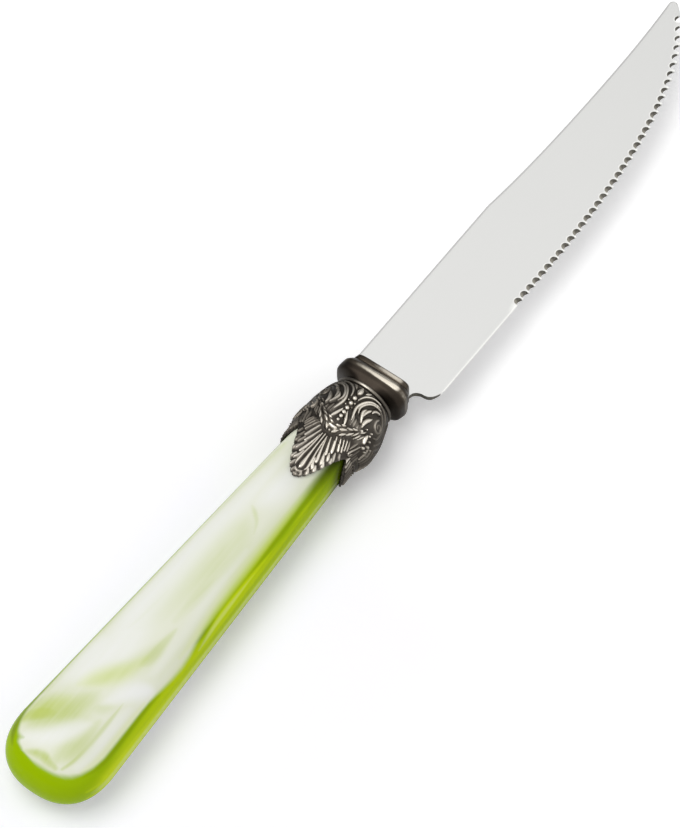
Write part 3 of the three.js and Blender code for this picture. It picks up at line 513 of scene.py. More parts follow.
class Wire:
    """A value in a material's node tree. Arithmetic on it adds Math nodes."""

    def __init__(self, tree, socket=None):
        self.tree = tree
        self.socket = socket

    def node(self, kind, settings=None, sockets=None, out=0):
        """A new node of a kind, with its settings, its sockets' values or links, and one of its outputs."""
        made = self.tree.nodes.new(kind)
        for name, value in (settings or {}).items():
            setattr(made, name, value)
        for name, value in (sockets or {}).items():
            if isinstance(value, Wire):
                self.tree.links.new(value.socket, made.inputs[name])
            else:
                made.inputs[name].default_value = value
        return Wire(self.tree, made.outputs[out] if made.outputs else None)

    def maths(self, operation, *values):
        return self.node("ShaderNodeMath", {"operation": operation}, dict(enumerate(values)))

    def __add__(self, other):
        return self.maths("ADD", self, other)

    __radd__ = __add__

    def __sub__(self, other):
        return self.maths("SUBTRACT", self, other)

    def __rsub__(self, other):
        return self.maths("SUBTRACT", other, self)

    def __mul__(self, other):
        return self.maths("MULTIPLY", self, other)

    __rmul__ = __mul__

    def __pow__(self, other):
        return self.maths("POWER", self, other)

    def smooth(self, low, high):
        """0 below low, 1 above high, and an even rise between them."""
        settings = {"interpolation_type": "SMOOTHSTEP"}
        return self.node("ShaderNodeMapRange", settings, {"Value": self, "From Min": low, "From Max": high})

    def mix(self, factor, first, second):
        """A colour between two."""
        first, second = (x if isinstance(x, Wire) else (*x, 1) for x in (first, second))
        return self.node("ShaderNodeMix", {"data_type": "RGBA"}, {0: factor, 6: first, 7: second}, out=2)

    def stretched(self, scale, turned=(0, 0, 0)):
        """The piece's own coordinates, turned and stretched."""
        place = self.node("ShaderNodeTexCoord", out=3)
        return self.node("ShaderNodeMapping", None, {"Vector": place, "Rotation": turned, "Scale": scale})

    def noise(self, vector, scale=1.0, detail=3.0, roughness=0.5, distortion=0.0):
        look = {"Scale": scale, "Detail": detail, "Roughness": roughness, "Distortion": distortion}
        return self.node("ShaderNodeTexNoise", None, {"Vector": vector, **look})

    def attribute(self, name):
        return self.node("ShaderNodeAttribute", {"attribute_name": name}, out=2)

    def bump(self, height, strength, distance):
        sockets = {"Height": height, "Strength": strength, "Distance": distance}
        return self.node("ShaderNodeBump", None, sockets)

    def surface(self, **sockets):
        """Ends the tree in one shader with these values, whose names have _ for a blank."""
        named = {name.replace("_", " "): value for name, value in sockets.items()}
        shader = self.node("ShaderNodeBsdfPrincipled", None, named)
        self.node("ShaderNodeOutputMaterial", None, {"Surface": shader})


def new_material(name):
    """An empty material and the start of its node tree."""
    material = bpy.data.materials.new(name)
    material.use_nodes = True
    material.node_tree.nodes.clear()
    return material, Wire(material.node_tree)


def satin_steel(settings):
    """Pale stainless steel with a fine even brushing along the blade, and painted shade and glints."""
    material, wire = new_material("satin_steel")
    brushing = wire.noise(wire.stretched((90, 5200, 900)), detail=4, roughness=0.65)
    cloud = wire.noise(wire.stretched((60, 90, 60)), detail=2)
    tone = wire.mix(cloud * 0.35, settings.steel, [x * 0.95 for x in settings.steel])
    # Painted shade: a grey line along the spine's rounding, and a slight darkening towards the tip.
    tone = wire.mix(wire.attribute("wear"), tone, [x * 0.72 for x in settings.steel])
    # Painted glint: the plain edge's bevel, the tooth tips and the gullets' rims are painted near white.
    tone = wire.mix(wire.attribute("bevel"), tone, (0.97, 0.97, 0.94))
    wire.surface(
        Base_Color=tone,
        Metallic=1.0,
        Roughness=0.19 + brushing * 0.08 + cloud * 0.03,
        Normal=wire.bump(brushing, 0.05, 0.0001),
    )
    return material


def ground_steel(settings):
    """The darker, rougher walls that a stamp and a grinding wheel leave, darker partly as painted shade."""
    material, wire = new_material("ground_steel")
    grit = wire.noise(wire.stretched((3000, 3000, 900)), detail=3)
    tone = wire.mix(grit.smooth(0.3, 0.7), [x * 0.5 for x in settings.ground], settings.ground)
    # Painted shade across each gullet's wall: lighter on its heel side, darker towards the tip.
    tone = wire.mix(wire.attribute("deep").smooth(0.1, 0.75), [x * 2.8 for x in settings.ground], tone)
    wire.surface(
        Base_Color=tone,
        Metallic=1.0,
        Roughness=0.45 + grit * 0.2,
        Normal=wire.bump(grit, 0.2, 0.0001),
    )
    return material


def pewter(name, settings):
    """Antiqued white metal: dark in the hollows, rubbed bright on what stands out.

    Its relief attribute also carries painted light: lighter and darker by side, the collar crest's highlight
    and the ferrule ring's highlight.
    """
    material, wire = new_material(name)
    height = wire.attribute("relief")
    cloud = wire.noise(wire.stretched((380, 380, 380)), detail=4, roughness=0.6)
    grain = wire.noise(wire.stretched((2600, 2600, 2600)), detail=3)
    worn = (height + (cloud - 0.5) * 0.35 + (grain - 0.5) * 0.12).smooth(-0.12, 1.12)
    low = wire.mix(worn.smooth(0.0, 0.5), settings.dark, settings.middle)
    tone = wire.mix(worn.smooth(0.42, 1.0), low, settings.bright)
    wire.surface(
        Base_Color=tone,
        Metallic=1.0,
        Roughness=0.44 - worn * 0.18 + (grain - 0.5) * 0.12,
        Normal=wire.bump(grain + cloud, 0.1, 0.0001),
    )
    return material


def pearl_acrylic(settings):
    """Cast acrylic: a pearly core with green clouds, seen through clear green at the narrow sides.

    The glow, the shade and the dusk paint light, shade and the ferrule's dark reflection on it.
    """
    material, wire = new_material("pearl_acrylic")
    core, haze, milk, glow, shade, dusk = (
        wire.attribute(name) for name in ("core", "haze", "milk", "glow", "shade", "dusk")
    )
    wisp = wire.noise(wire.stretched((34, 260, 140), (0, 0, 0.25)), detail=3, roughness=0.5, distortion=1.2)
    cloud = wire.noise(wire.stretched((40, 90, 70), (0, 0, 0.4)), detail=2, roughness=0.4, distortion=0.8)
    thread = wire.noise(wire.stretched((45, 900, 420), (0, 0, 0.3)), detail=2, distortion=0.6)
    drift = (wisp - 0.5) * 0.5 + (cloud - 0.5) * 0.35 + (thread - 0.5) * 0.2
    green = (haze * (1 + drift * 1.4) + drift * 0.22 + 0.1).smooth(0.0, 1.0)
    pearl = wire.mix(green, settings.pearl, settings.haze)
    pearl = wire.mix((milk * (0.9 + drift)).smooth(-0.1, 1.0), pearl, settings.milk)
    pearl = wire.mix(glow * 0.5, pearl, settings.glow)
    lime = wire.mix((glow + drift * 0.3).smooth(0.0, 1.0), settings.lime, settings.glow)
    lime = wire.mix((shade + drift * 0.2).smooth(0.05, 1.0), lime, settings.shade)
    border = core + drift * 0.25 * core * (1 - core)
    tone = wire.mix(border, lime, pearl)
    wire.surface(
        Base_Color=wire.mix(dusk * (0.94 - 0.87 * core), tone, [x * 0.12 for x in settings.shade]),
        Roughness=0.09 + wisp * 0.05,
        IOR=1.49,
        Specular_IOR_Level=0.05,
    )
    return material


def cured_resin():
    """The adhesive inside the ferrule and the bore."""
    material, wire = new_material("cured_resin")
    cloud = wire.noise(wire.stretched((300, 300, 300)), detail=3)
    wire.surface(
        Base_Color=wire.mix(cloud, (0.62, 0.56, 0.4), (0.78, 0.72, 0.55)),
        Roughness=0.4 + cloud * 0.2,
        Normal=wire.bump(cloud, 0.2, 0.0003),
    )
    return material


def spun(rows, sides, closed):
    """A tube of rings, made by spinning a line of vertices round the axis.

    Returns the mesh, and each vertex's row and its angle from the top towards the cutting edge.
    """
    shape = bmesh.new()
    line = [shape.verts.new((row, 0, 1)) for row in range(rows)]
    edges = [shape.edges.new(pair) for pair in zip(line, line[1:])]
    if closed:
        edges.append(shape.edges.new((line[-1], line[0])))
    bmesh.ops.spin(
        shape, geom=line + edges, cent=(0, 0, 0), axis=(1, 0, 0), dvec=(0, 0, 0),
        angle=2 * math.pi, steps=sides, use_merge=True, use_duplicate=False,
    )
    mesh = to_mesh(shape, "spun")
    place = points_of(mesh)
    return mesh, np.rint(place[:, 0]).astype(int), np.arctan2(-place[:, 1], place[:, 2])


def to_mesh(shape, name):
    """A new mesh from a bmesh, which is freed."""
    mesh = bpy.data.meshes.new(name)
    shape.to_mesh(mesh)
    shape.free()
    return mesh


def points_of(mesh):
    """A mesh's vertices as an array."""
    place = np.empty(len(mesh.vertices) * 3, np.float32)
    mesh.vertices.foreach_get("co", place)
    return place.reshape(-1, 3).astype(float)


def oval(angle, width, thickness, power):
    """y and z on an oval of a half width and a half thickness."""
    sine, cosine = np.sin(angle), np.cos(angle)
    reach = (np.abs(sine) ** power + np.abs(cosine) ** power) ** (-1 / power)
    return -width * reach * sine, thickness * reach * cosine


def set_points(mesh, x, y, z):
    """Moves a mesh's vertices to places in millimetres on the knife's own axis."""
    place = np.stack([x, y, z], axis=1) * MM + np.array(AXIS)
    mesh.vertices.foreach_set("co", place.astype(np.float32).ravel())
    mesh.update()


def add_values(mesh, name, values):
    """Stores a number on each vertex for the materials."""
    attribute = mesh.attributes.new(name, "FLOAT", "POINT")
    attribute.data.foreach_set("value", np.asarray(values, np.float32))


def settle(mesh, merge=False, sharp=40):
    """Merges what coincides, turns the faces outwards and smooths all but the sharp edges."""
    shape = bmesh.new()
    shape.from_mesh(mesh)
    if merge:
        bmesh.ops.remove_doubles(shape, verts=shape.verts[:], dist=1e-7)
    bmesh.ops.recalc_face_normals(shape, faces=shape.faces[:])
    shape.to_mesh(mesh)
    shape.free()
    mesh.shade_smooth()
    mesh.set_sharp_from_angle(angle=math.radians(sharp))


def add_to_scene(name, data):
    """A new object in the scene."""
    made = bpy.data.objects.new(name, data)
    bpy.context.scene.collection.objects.link(made)
    return made


def add_piece(name, mesh, materials, node):
    """Puts a mesh in the scene as a piece that stands for a node."""
    mesh.name = name
    for material in materials:
        mesh.materials.append(material)
    piece = add_to_scene(name, mesh)
    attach(piece, BODY)
    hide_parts(node)


def quadratic(start, control, end, count):
    """Points on a curve with one control point."""
    share = np.linspace(0, 1, count)[:, None]
    start, control, end = (np.array(p, float) for p in (start, control, end))
    return (1 - share) ** 2 * start + 2 * share * (1 - share) * control + share**2 * end


def spine_line(b):
    """Points along the spine, from the collar to the rounded tip."""
    low = b.spine_height - b.spine_dip
    low_place = b.reach - b.spine_rise
    tip = b.reach - b.tip_radius
    bend_start, bend_middle = (b.spine_straight, b.spine_height), (b.spine_straight + b.spine_bend, low)
    rise_middle, rise_end = ((tip + low_place) / 2, low), (tip, b.tip_height + b.tip_radius)
    bend = quadratic(bend_start, bend_middle, (low_place, low), 200)
    rise = quadratic((low_place, low), rise_middle, rise_end, 100)
    return np.vstack([[(0, b.spine_height)], bend, rise[1:]])


def belly_line(b):
    """Places, heights and slopes along the curved part of the cutting edge."""
    along = np.array([math.cos(b.belly_angle), math.sin(b.belly_angle)])
    tip = np.array([b.reach - b.tip_radius, b.tip_height])
    end = tip + b.tip_radius * np.array([along[1], -along[0]])
    points = [
        np.array([b.plain_edge, -b.edge_depth]),
        np.array([b.plain_edge + b.belly_lead, -b.edge_depth]),
        end - along * b.belly_sweep,
        end,
    ]
    share = np.linspace(0, 1, 3000)[:, None]
    weights = ((1 - share) ** 3, 3 * share * (1 - share) ** 2, 3 * share**2 * (1 - share), share**3)
    line = sum(weight * point for weight, point in zip(weights, points))
    step = np.gradient(line, axis=0)
    return line[:, 0], line[:, 1], np.arctan2(step[:, 1], step[:, 0])


def heel_columns(b):
    """Columns of the tang, the foot, the hollow and rounded heel, and the plain edge."""
    tang, full = b.thickness / 2 - b.tang_step, b.thickness / 2
    heel_y = b.heel_rise - b.edge_depth
    foot_top, foot_bottom = b.spine_height - b.tang_step, heel_y + b.heel_curl + b.tang_step
    heel_bottom = math.radians(69)
    columns = []
    for x, half in (
        (-b.tang_length, b.tang_end_width / 2),
        (b.tang_taper - b.tang_length, b.tang_width / 2),
        (-b.seat_depth, b.tang_width / 2),
    ):
        columns.append((x, -half, 0, 0, x, half, tang, 0))
    for x in (-b.seat_depth, 0):
        columns.append((x, foot_bottom, 0, 0, x, foot_top, tang, 1))
    for angle in np.linspace(0, math.pi / 2, 12):
        x = b.heel_set * math.sin(angle)
        columns.append((x, heel_y + b.heel_curl * math.cos(angle), 0, 0, x, b.spine_height, full, 1))
    for angle in np.linspace(0, math.pi / 2, 16)[1:]:
        x = b.heel_set + b.heel_run * (1 - math.cos(angle))
        y = heel_y - b.heel_rise * math.sin(angle)
        columns.append((x, y, 0, 0, x, b.spine_height, full, angle < heel_bottom))
    for x in np.linspace(b.heel_set + b.heel_run, b.plain_edge, 12)[1:]:
        columns.append((x, -b.edge_depth, 0, 0, x, b.spine_height, full, 0))
    return columns


def tooth_places(b, xs, slopes):
    """Places along the curved edge, gullet by gullet, as (x, cut depth, shade of the ground wall)."""
    places = []
    gullet = b.plain_edge + b.first_gullet
    while gullet <= b.reach - b.last_tooth:
        half = b.gullet_radius * math.cos(np.interp(gullet, xs, slopes))
        for share in GULLET_SHARES:
            depth = shade = 0
            if abs(share) < 1:
                depth = b.gullet_inset + b.gullet_radius * math.sqrt(1 - share**2)
                shade = (1 + share) / 2
            places.append((gullet + share * half, depth, shade))
        land = b.tooth_pitch - 2 * half
        places += [(gullet + half + land * share, 0, 0) for share in (0.33, 0.67)]
        gullet += b.tooth_pitch
    return places + [(x, 0, 0) for x in np.linspace(places[-1][0], xs[-1], 6)[1:]]


def blade_columns(b):
    """The blade's columns from the tang to the tip.

    Each is (edge x, edge y, edge slope, cut depth, top x, top y, half thickness, shade of the ground wall).
    """
    columns = heel_columns(b)
    full = b.thickness / 2
    xs, ys, slopes = belly_line(b)
    spine = spine_line(b).T
    tip_x = b.reach - b.tip_radius
    for x, depth, shade in tooth_places(b, xs, slopes):
        top = x - (xs[-1] - tip_x) * (x / xs[-1]) ** 6
        y, slope = np.interp(x, xs, ys), np.interp(x, xs, slopes)
        columns.append((x, y, slope, depth, top, np.interp(top, *spine), full, shade))
    start = b.belly_angle - math.pi / 2
    for share in np.linspace(0, 0.985, 9)[1:]:
        low, high = start * (1 - share), math.pi / 2 * (1 - share)
        x, y = tip_x + b.tip_radius * math.cos(low), b.tip_height + b.tip_radius * math.sin(low)
        top_x, top_y = tip_x + b.tip_radius * math.cos(high), b.tip_height + b.tip_radius * math.sin(high)
        columns.append((x, y, low + math.pi / 2, 0, top_x, top_y, full, 0))
    return np.array(columns, float)


def make_blade(b):
    """The blade with its ground edge, teeth, heel, foot and tang, from a grid that is given a thickness."""
    columns = blade_columns(b)
    # Rows from the edge to the spine: shares of a band along the edge, of the face, and steps to the spine.
    band = b.gullet_inset + b.gullet_radius + b.scoop + b.rim_glint
    bevel = b.edge_bevel / band
    edge_shares = np.array([0, 0.35 * bevel, 0.7 * bevel, bevel, bevel + 0.03, 0.5, b.hollow / band, 1])
    middle_shares = np.array([0.12, 0.35, 0.6, 0.85])
    spine_steps = b.spine_round * np.array([1.5, 1, 0.6, 0.3, 0.1, 0])
    count = len(edge_shares) + len(middle_shares) + len(spine_steps)
    shape = bmesh.new()
    bmesh.ops.create_grid(shape, x_segments=len(columns) - 1, y_segments=count - 1, size=1)
    made = bmesh.ops.extrude_face_region(shape, geom=shape.faces[:], use_keep_orig=True)
    for vertex in (v for v in made["geom"] if isinstance(v, bmesh.types.BMVert)):
        vertex.co.z = 1
    mesh = to_mesh(shape, "blade_sheet")
    grid = points_of(mesh)
    column = np.rint((grid[:, 0] + 1) / 2 * (len(columns) - 1)).astype(int)
    row = np.rint((grid[:, 1] + 1) / 2 * (count - 1)).astype(int)
    side = np.where(grid[:, 2] > 0.5, 1, -1)
    edge_x, edge_y, slope, depth, top_x, top_y, half, ground = columns[column].T
    tilt = b.gullet_slope * (1 - even_rise(edge_x, b.reach - 2 * b.steep_run, b.reach - b.steep_run))
    depth = depth + np.where(side > 0, b.scoop, -tilt) * np.clip(depth / b.gullet_radius, 0, 1)
    inward_x, inward_y = -np.sin(slope), np.cos(slope)
    room = np.hypot(top_x - edge_x, top_y - edge_y)
    reach = np.minimum(band, 0.45 * room)
    offset = depth + (reach - depth) * edge_shares[np.minimum(row, len(edge_shares) - 1)]
    low_x, low_y = edge_x + inward_x * reach, edge_y + inward_y * reach
    gap = np.hypot(top_x - low_x, top_y - low_y)
    shrink = np.minimum(0.4 * gap / spine_steps[0], 1)
    from_spine = spine_steps[np.maximum(row - count + len(spine_steps), 0)]
    step = from_spine * shrink
    middle = middle_shares[np.clip(row - len(edge_shares), 0, len(middle_shares) - 1)]
    middle *= 1 - spine_steps[0] * shrink / np.maximum(gap, 1e-9)
    share = np.where(row >= count - len(spine_steps), 1 - step / np.maximum(gap, 1e-9), middle)
    in_band = row < len(edge_shares)
    x = np.where(in_band, edge_x + inward_x * offset, low_x + (top_x - low_x) * share)
    y = np.where(in_band, edge_y + inward_y * offset, low_y + (top_y - low_y) * share)
    from_edge = np.where(x < b.plain_edge, y + b.edge_depth, np.where(in_band, offset, band))
    upper = half - b.bevel_drop * (1 - np.clip(from_edge / b.edge_bevel, 0, 1))
    edge_z = b.thickness / 2 - b.bevel_drop - b.edge_land
    lower = -half + (half + edge_z) * (1 - np.clip(from_edge / b.hollow, 0, 1))
    z = np.where(side > 0, upper, lower)
    z = np.where(edge_x < 0, side * half, z)
    lost = np.where(row >= count - len(spine_steps), 1 - np.clip(from_spine / b.spine_round, 0, 1), 0)
    z -= np.where(edge_x > 0, side * b.spine_drop * shrink * lost**2, 0)
    set_points(mesh, x, y, z)
    # Painted shade along the spine's rounding, growing slightly towards the tip.
    add_values(mesh, "wear", lost + 0.16 * np.clip(x / b.reach, 0, 1) ** 2)
    # Painted glint on the plain edge's bevel, the tooth tips and the gullets' rims, fading before the tip.
    glint = np.where(x < b.plain_edge, b.edge_bevel, b.gullet_inset + b.gullet_radius)
    bright = np.clip(1.2 - from_edge / glint, 0, 1) * (x > b.heel_set)
    bright *= even_rise(b.reach - x, b.last_tooth, 2 * b.last_tooth)
    rim = np.where(in_band & (depth > 0), np.clip(1 - (offset - depth) / b.rim_glint, 0, 1), 0)
    add_values(mesh, "bevel", np.maximum(bright, rim))
    # Painted shade of the gullets' walls and the heel's wall.
    add_values(mesh, "deep", ground)
    wall = np.array([all(row[v] == 0 and ground[v] for v in p.vertices) for p in mesh.polygons])
    mesh.polygons.foreach_set("material_index", wall.astype(np.int32))
    settle(mesh, sharp=28)
    return mesh


def make_collar(c):
    """The collar: lip, groove, rounded crest and hollow neck outside, seat and slot for the blade inside."""
    end = -c.body - c.neck
    neck, boss = c.neck_thickness / 2, c.boss_thickness / 2
    # Each row is place, half width, half thickness, power, shift towards the spine and how far it is rubbed,
    # which also paints the crest's highlight.
    rows = []
    for place, spine_side, edge_side, thin, power, rubbed in COLLAR_PROFILE:
        wide = (c.width - spine_side - edge_side) / 2
        shift = c.lean + (edge_side - spine_side) / 2
        rows.append((place, wide, c.thickness / 2 - thin, power, shift, rubbed))
    place, wide, thin, power, shift, _ = rows[-1]
    for share in (0.15, 0.3, 0.45, 0.6, 0.75, 0.9, 1.0):
        turned = math.sin(share * math.pi / 2)
        rows.append((
            place + (end - place) * share,
            wide + (neck * c.aspect - wide) * turned,
            thin + (neck - thin) * turned,
            power + (ROUND - power) * share,
            shift * (1 - share),
            0.04 + 0.16 * share**3,
        ))
    sheet = c.fit_gap + c.slot_thickness / 2
    slot = (c.fit_gap + c.slot_width / 2, sheet, SQUARE)
    seat = (c.fit_gap + c.seat_width / 2, sheet, SQUARE)
    mouth = (c.mouth_width / 2, sheet, SQUARE)
    back, seat_end = end - c.boss_length, -c.seat_depth - c.fit_gap
    rows += [
        (end, boss * c.aspect, boss, ROUND, 0, 0),
        (back, boss * c.aspect, boss, ROUND, 0, 0),
        (back, *slot, 0, 0),
        (seat_end, *slot, 0, 0),
        (seat_end, *seat, c.seat_shift, 0),
        (-c.lip_depth, *seat, c.seat_shift, 0),
        (-c.lip_depth, *mouth, 0, 0),
        (rows[0][0], *mouth, 0, 0.2),
    ]
    mesh, row, angle = spun(len(rows), 144, closed=True)
    place, wide, thin, power, shift, rubbed = np.array(rows)[row].T
    y, z = oval(angle, wide, thin, power)
    set_points(mesh, place, y + shift, z)
    side = towards_edge(angle)
    # Painted highlight by side: brighter towards the cutting edge's side, and dimmer again past the corner.
    painted_side_light = (0.4 + 0.6 * even_rise(side, -40, 20)) * (1 - 0.55 * even_rise(side, 33, 44))
    add_values(mesh, "relief", rubbed * painted_side_light)
    settle(mesh, sharp=50)
    return mesh


def handle_size(h, shoulder, x):
    """The handle's half width and half thickness at places along the axis."""
    straight = h.reach - h.butt_round
    share = np.clip((shoulder - x) / straight, None, 1)
    end = np.clip((shoulder - x - straight) / h.butt_round, 0, 1)
    width = h.front_width + (h.butt_width - h.front_width) * share
    thickness = h.front_thickness + (h.butt_thickness - h.front_thickness) * share
    return (
        width / 2 * (1 - end**h.butt_plan) ** (1 / h.butt_plan),
        thickness / 2 * (1 - end**h.butt_side) ** (1 / h.butt_side),
    )


def sizes_of(scene):
    """The ferrule's and the handle's values in millimetres, and where the pieces meet along the axis."""
    groups = (scene.knife_collar, scene.knife_ferrule, scene.knife_handle)
    c, f, h = (in_millimetres(group) for group in groups)
    front = -c.body - c.neck
    shoulder = front - f.bulb_front - f.bulb_back
    cavity = front - f.wall
    at = SimpleNamespace(
        front=front, shoulder=shoulder, butt=shoulder - h.reach, cavity=cavity, tenon=cavity - h.glue_bed
    )
    return f, h, at


def make_handle(h, f, at):
    """The handle: domed butt, tapered grip, shoulder, tenon and the bore for the tang."""
    dome = at.butt + h.butt_round * (1 - np.cos(np.linspace(0, math.pi / 2, 64)))
    grip = np.linspace(at.butt + h.butt_round, at.shoulder, 210)[1:]
    outside = np.concatenate([dome, grip])
    wide, thin = handle_size(h, at.shoulder, outside)
    rows = [(x, w, t, h.squareness) for x, w, t in zip(outside, wide, thin)]
    tenon = (h.front_width / 2 - h.tenon_step, h.front_thickness / 2 - h.tenon_step, h.squareness)
    rows += [
        (at.shoulder, *tenon),
        (at.tenon, *tenon),
        (at.tenon, h.bore_radius, h.bore_radius, ROUND),
        (-h.bore_end, h.bore_radius, h.bore_radius, ROUND),
        (-h.bore_end, 0, 0, ROUND),
    ]
    mesh, row, angle = spun(len(rows), 256, closed=False)
    place, wide, thin, power = np.array(rows)[row].T
    y, z = oval(angle, wide, thin, power)
    set_points(mesh, place, y, z)
    settle(mesh, merge=True, sharp=50)
    points = (points_of(mesh) - np.array(AXIS)) / MM
    for name, values in marbling(points, h, f, at).items():
        add_values(mesh, name, values)
    return mesh


def even_rise(value, low, high):
    """0 below low, 1 above high, and an even rise between them."""
    share = np.clip((value - low) / (high - low), 0, 1)
    return share * share * (3 - 2 * share)


def towards_edge(angle):
    """Degrees from the middle of the upper or the lower side, positive towards the cutting edge."""
    return np.degrees(np.arctan2(np.sin(angle), np.abs(np.cos(angle))))


def marbling(points, h, f, at):
    """The handle's pearl core, clouds, white folds, streaks and the dusk by the ferrule over its vertices.

    The glow, the shade and the dusk are painted light and shade.
    """
    x = points[:, 0]
    wide, thin = np.maximum(handle_size(h, at.shoulder, x), 1e-6)
    angle = np.arctan2(-points[:, 1] / wide, points[:, 2] / thin)
    # The underside repeats the upper side.
    fold = np.sign(angle) * np.minimum(np.abs(angle), math.pi - np.abs(angle))
    degrees = np.degrees(fold)
    plan = np.stack([fold * MARBLE_RADIUS, x], axis=1)

    def painted(strokes):
        field = np.zeros(len(x))
        raise_strokes(field, plan, strokes, MARBLE_RADIUS, broad=2.5, power=2.4, fade=0.7)
        return field

    def along(table):
        return np.interp(x, *np.array(table).T)

    soft = along(BORDER_SOFTNESS) / 2
    lower = even_rise(along(LOWER_BORDER) - degrees, -soft, soft)
    soft = np.clip(2 * soft, *UPPER_SOFTNESS) / 2
    upper = even_rise(degrees - along(UPPER_BORDER), -soft, soft)
    core = lower * upper * even_rise(x, at.butt + 2, at.butt + 3.2) * (1 - painted(BAYS))
    # The second thread is a painted reflection that makes the green's lower rim pale.
    core = np.maximum(core, painted(THREADS))
    # Painted glow along the lower rims, stronger towards the butt.
    low_glow = even_rise(degrees, 56, 80) * even_rise(x, at.butt + 3, at.butt + 11)
    near_butt = even_rise(-x, 55, 100)
    return {
        "core": core,
        "haze": painted(HAZE),
        "milk": painted(MILK),
        "glow": np.maximum(low_glow * (0.48 + 0.32 * near_butt), painted(GLOW)),
        # Painted shade in the green, growing towards the ferrule.
        "shade": np.maximum(painted(SHADE), 0.6 * even_rise(x, -44, -20)),
        "dusk": np.exp(-((from_leaves(f, at, leaf_fold(angle, x), x) / h.dusk_reach) ** 2)),
    }


def smooth_path(points, radius, count=6):
    """A smooth line through (degrees, place, half width) points, unrolled to millimetres."""
    path = np.array(points, float)
    path[:, 0] = np.radians(path[:, 0]) * radius
    ends = np.vstack([2 * path[0] - path[1], path, 2 * path[-1] - path[-2]])
    line = []
    for a, b, c, d in zip(ends, ends[1:], ends[2:], ends[3:]):
        for share in np.arange(count) / count:
            line.append(
                0.5 * (2 * b + (c - a) * share + (2 * a - 5 * b + 4 * c - d) * share**2
                       + (3 * b - a - 3 * c + d) * share**3)
            )
    line.append(path[-1])
    line = np.array(line)
    line[:, 2] = np.maximum(line[:, 2], 0.04)
    return line


def raise_strokes(height, plan, strokes, radius=PLAN_RADIUS, broad=1.2, power=0.65, fade=0):
    """Raises ridges along strokes on a field.

    A higher power makes the ridges softer, and fade lets their narrow ends die away.
    """
    for points, top in strokes:
        line = smooth_path(points, radius)
        line[:, 2] *= broad
        widest = line[:, 2].max()
        low, high = line[:, :2].min(0) - widest, line[:, :2].max(0) + widest
        near = np.flatnonzero(((plan > low) & (plan < high)).all(axis=1))
        for start, end in zip(line, line[1:]):
            step = end[:2] - start[:2]
            off = plan[near] - start[:2]
            share = np.clip(off @ step / max(step @ step, 1e-9), 0, 1)
            width = start[2] + (end[2] - start[2]) * share
            ratio = np.hypot(*(off - share[:, None] * step).T) / width
            ridge = top * (width / widest) ** fade * np.clip(1 - ratio**2, 0, 1) ** power
            height[near] = np.maximum(height[near], ridge)


def raise_bosses(height, plan, bosses, top):
    """Raises round bosses on a height field."""
    for degrees, place, radius in bosses:
        off = plan - (math.radians(degrees) * PLAN_RADIUS, place)
        ratio = np.hypot(*off.T) / radius
        height[:] = np.maximum(height, top * np.sqrt(np.clip(1 - ratio**2, 0, 1)))


def volute(degrees, place, outer, inner, turns, start):
    """A spiral stroke round an eye."""
    points = []
    for share in np.linspace(0, 1, 22):
        angle = start + 2 * math.pi * turns * share
        radius = outer + (inner - outer) * share**0.8
        across = math.degrees(radius * math.cos(angle) / PLAN_RADIUS)
        points.append((degrees + across, place + radius * math.sin(angle), 0.27 - 0.07 * share))
    return points, 0.78


def ornament(plan):
    """The height of the ornament, 0 in the hollows and 1 on the ridges, over the unrolled plan."""
    height = np.zeros(len(plan))
    raise_strokes(height, plan, GROUND, broad=1.0, power=1.2)
    raise_strokes(height, plan, SCROLLS, broad=1.4, power=0.9)
    raise_strokes(height, plan, GARLAND, broad=1.3, power=0.8)
    spiral = volute(degrees=57, place=-11.1, outer=1.45, inner=0.35, turns=1.3, start=2.2)
    raise_strokes(height, plan, [spiral])
    raise_bosses(height, plan, BEADS, 1.2)
    raise_bosses(height, plan, BERRIES, 1.1)
    raise_strokes(height, plan, BUD)
    return height


def leaf_ribs(plan, rim):
    """The height of the ribs over the unrolled plan of the leaves, whose edge lies at rim."""
    degrees, x = np.degrees(plan[:, 0] / PLAN_RADIUS), plan[:, 1]
    ribs = np.zeros(len(plan))
    raise_strokes(ribs, plan, PALMETTE, broad=1.4, power=0.9)
    margin = np.clip((x - rim) / LEAF_MARGIN, 0, 1)
    start = np.interp(degrees, *np.array(RIB_START).T)
    return np.maximum(ribs, 0.08 + 0.16 * (1 - margin)) * even_rise(start - x, -0.2, 0.8)


def leaf_reach(angle, spread, fullness):
    """A leaf's outline: 1 on its middle line and 0 at its spread."""
    inside = np.cos(np.clip(np.abs(angle) / spread, 0, 1) * math.pi / 2)
    return np.where(np.abs(angle) < spread, np.clip(inside, 0, 1) ** fullness, 0)


def leaf_fold(angle, x):
    """The angle from a leaf's middle line, folded to the quarter between two middle lines."""
    middle = np.radians(np.interp(x, *np.array(MIDDLE_LINE).T))
    off = np.abs(np.arctan2(np.sin(angle - middle), np.cos(angle - middle)))
    return np.minimum(off, math.pi - off)


def rim_place(f, at, fold):
    """The leaves' edge along the axis for an angle folded to the quarter between two middle lines."""
    reach = f.skirt + f.leaf_length * leaf_reach(fold, f.leaf_spread, f.leaf_fullness)
    side = math.pi / 2 - f.leaf_spread
    reach += f.side_leaf_length * leaf_reach(math.pi / 2 - fold, side, f.side_leaf_fullness)
    for degrees, depth in NOTCHES:
        reach -= depth * np.exp(-(((np.degrees(fold) - degrees) / NOTCH_SPREAD) ** 2))
    return at.shoulder - np.maximum(reach, 0.4 * f.skirt)


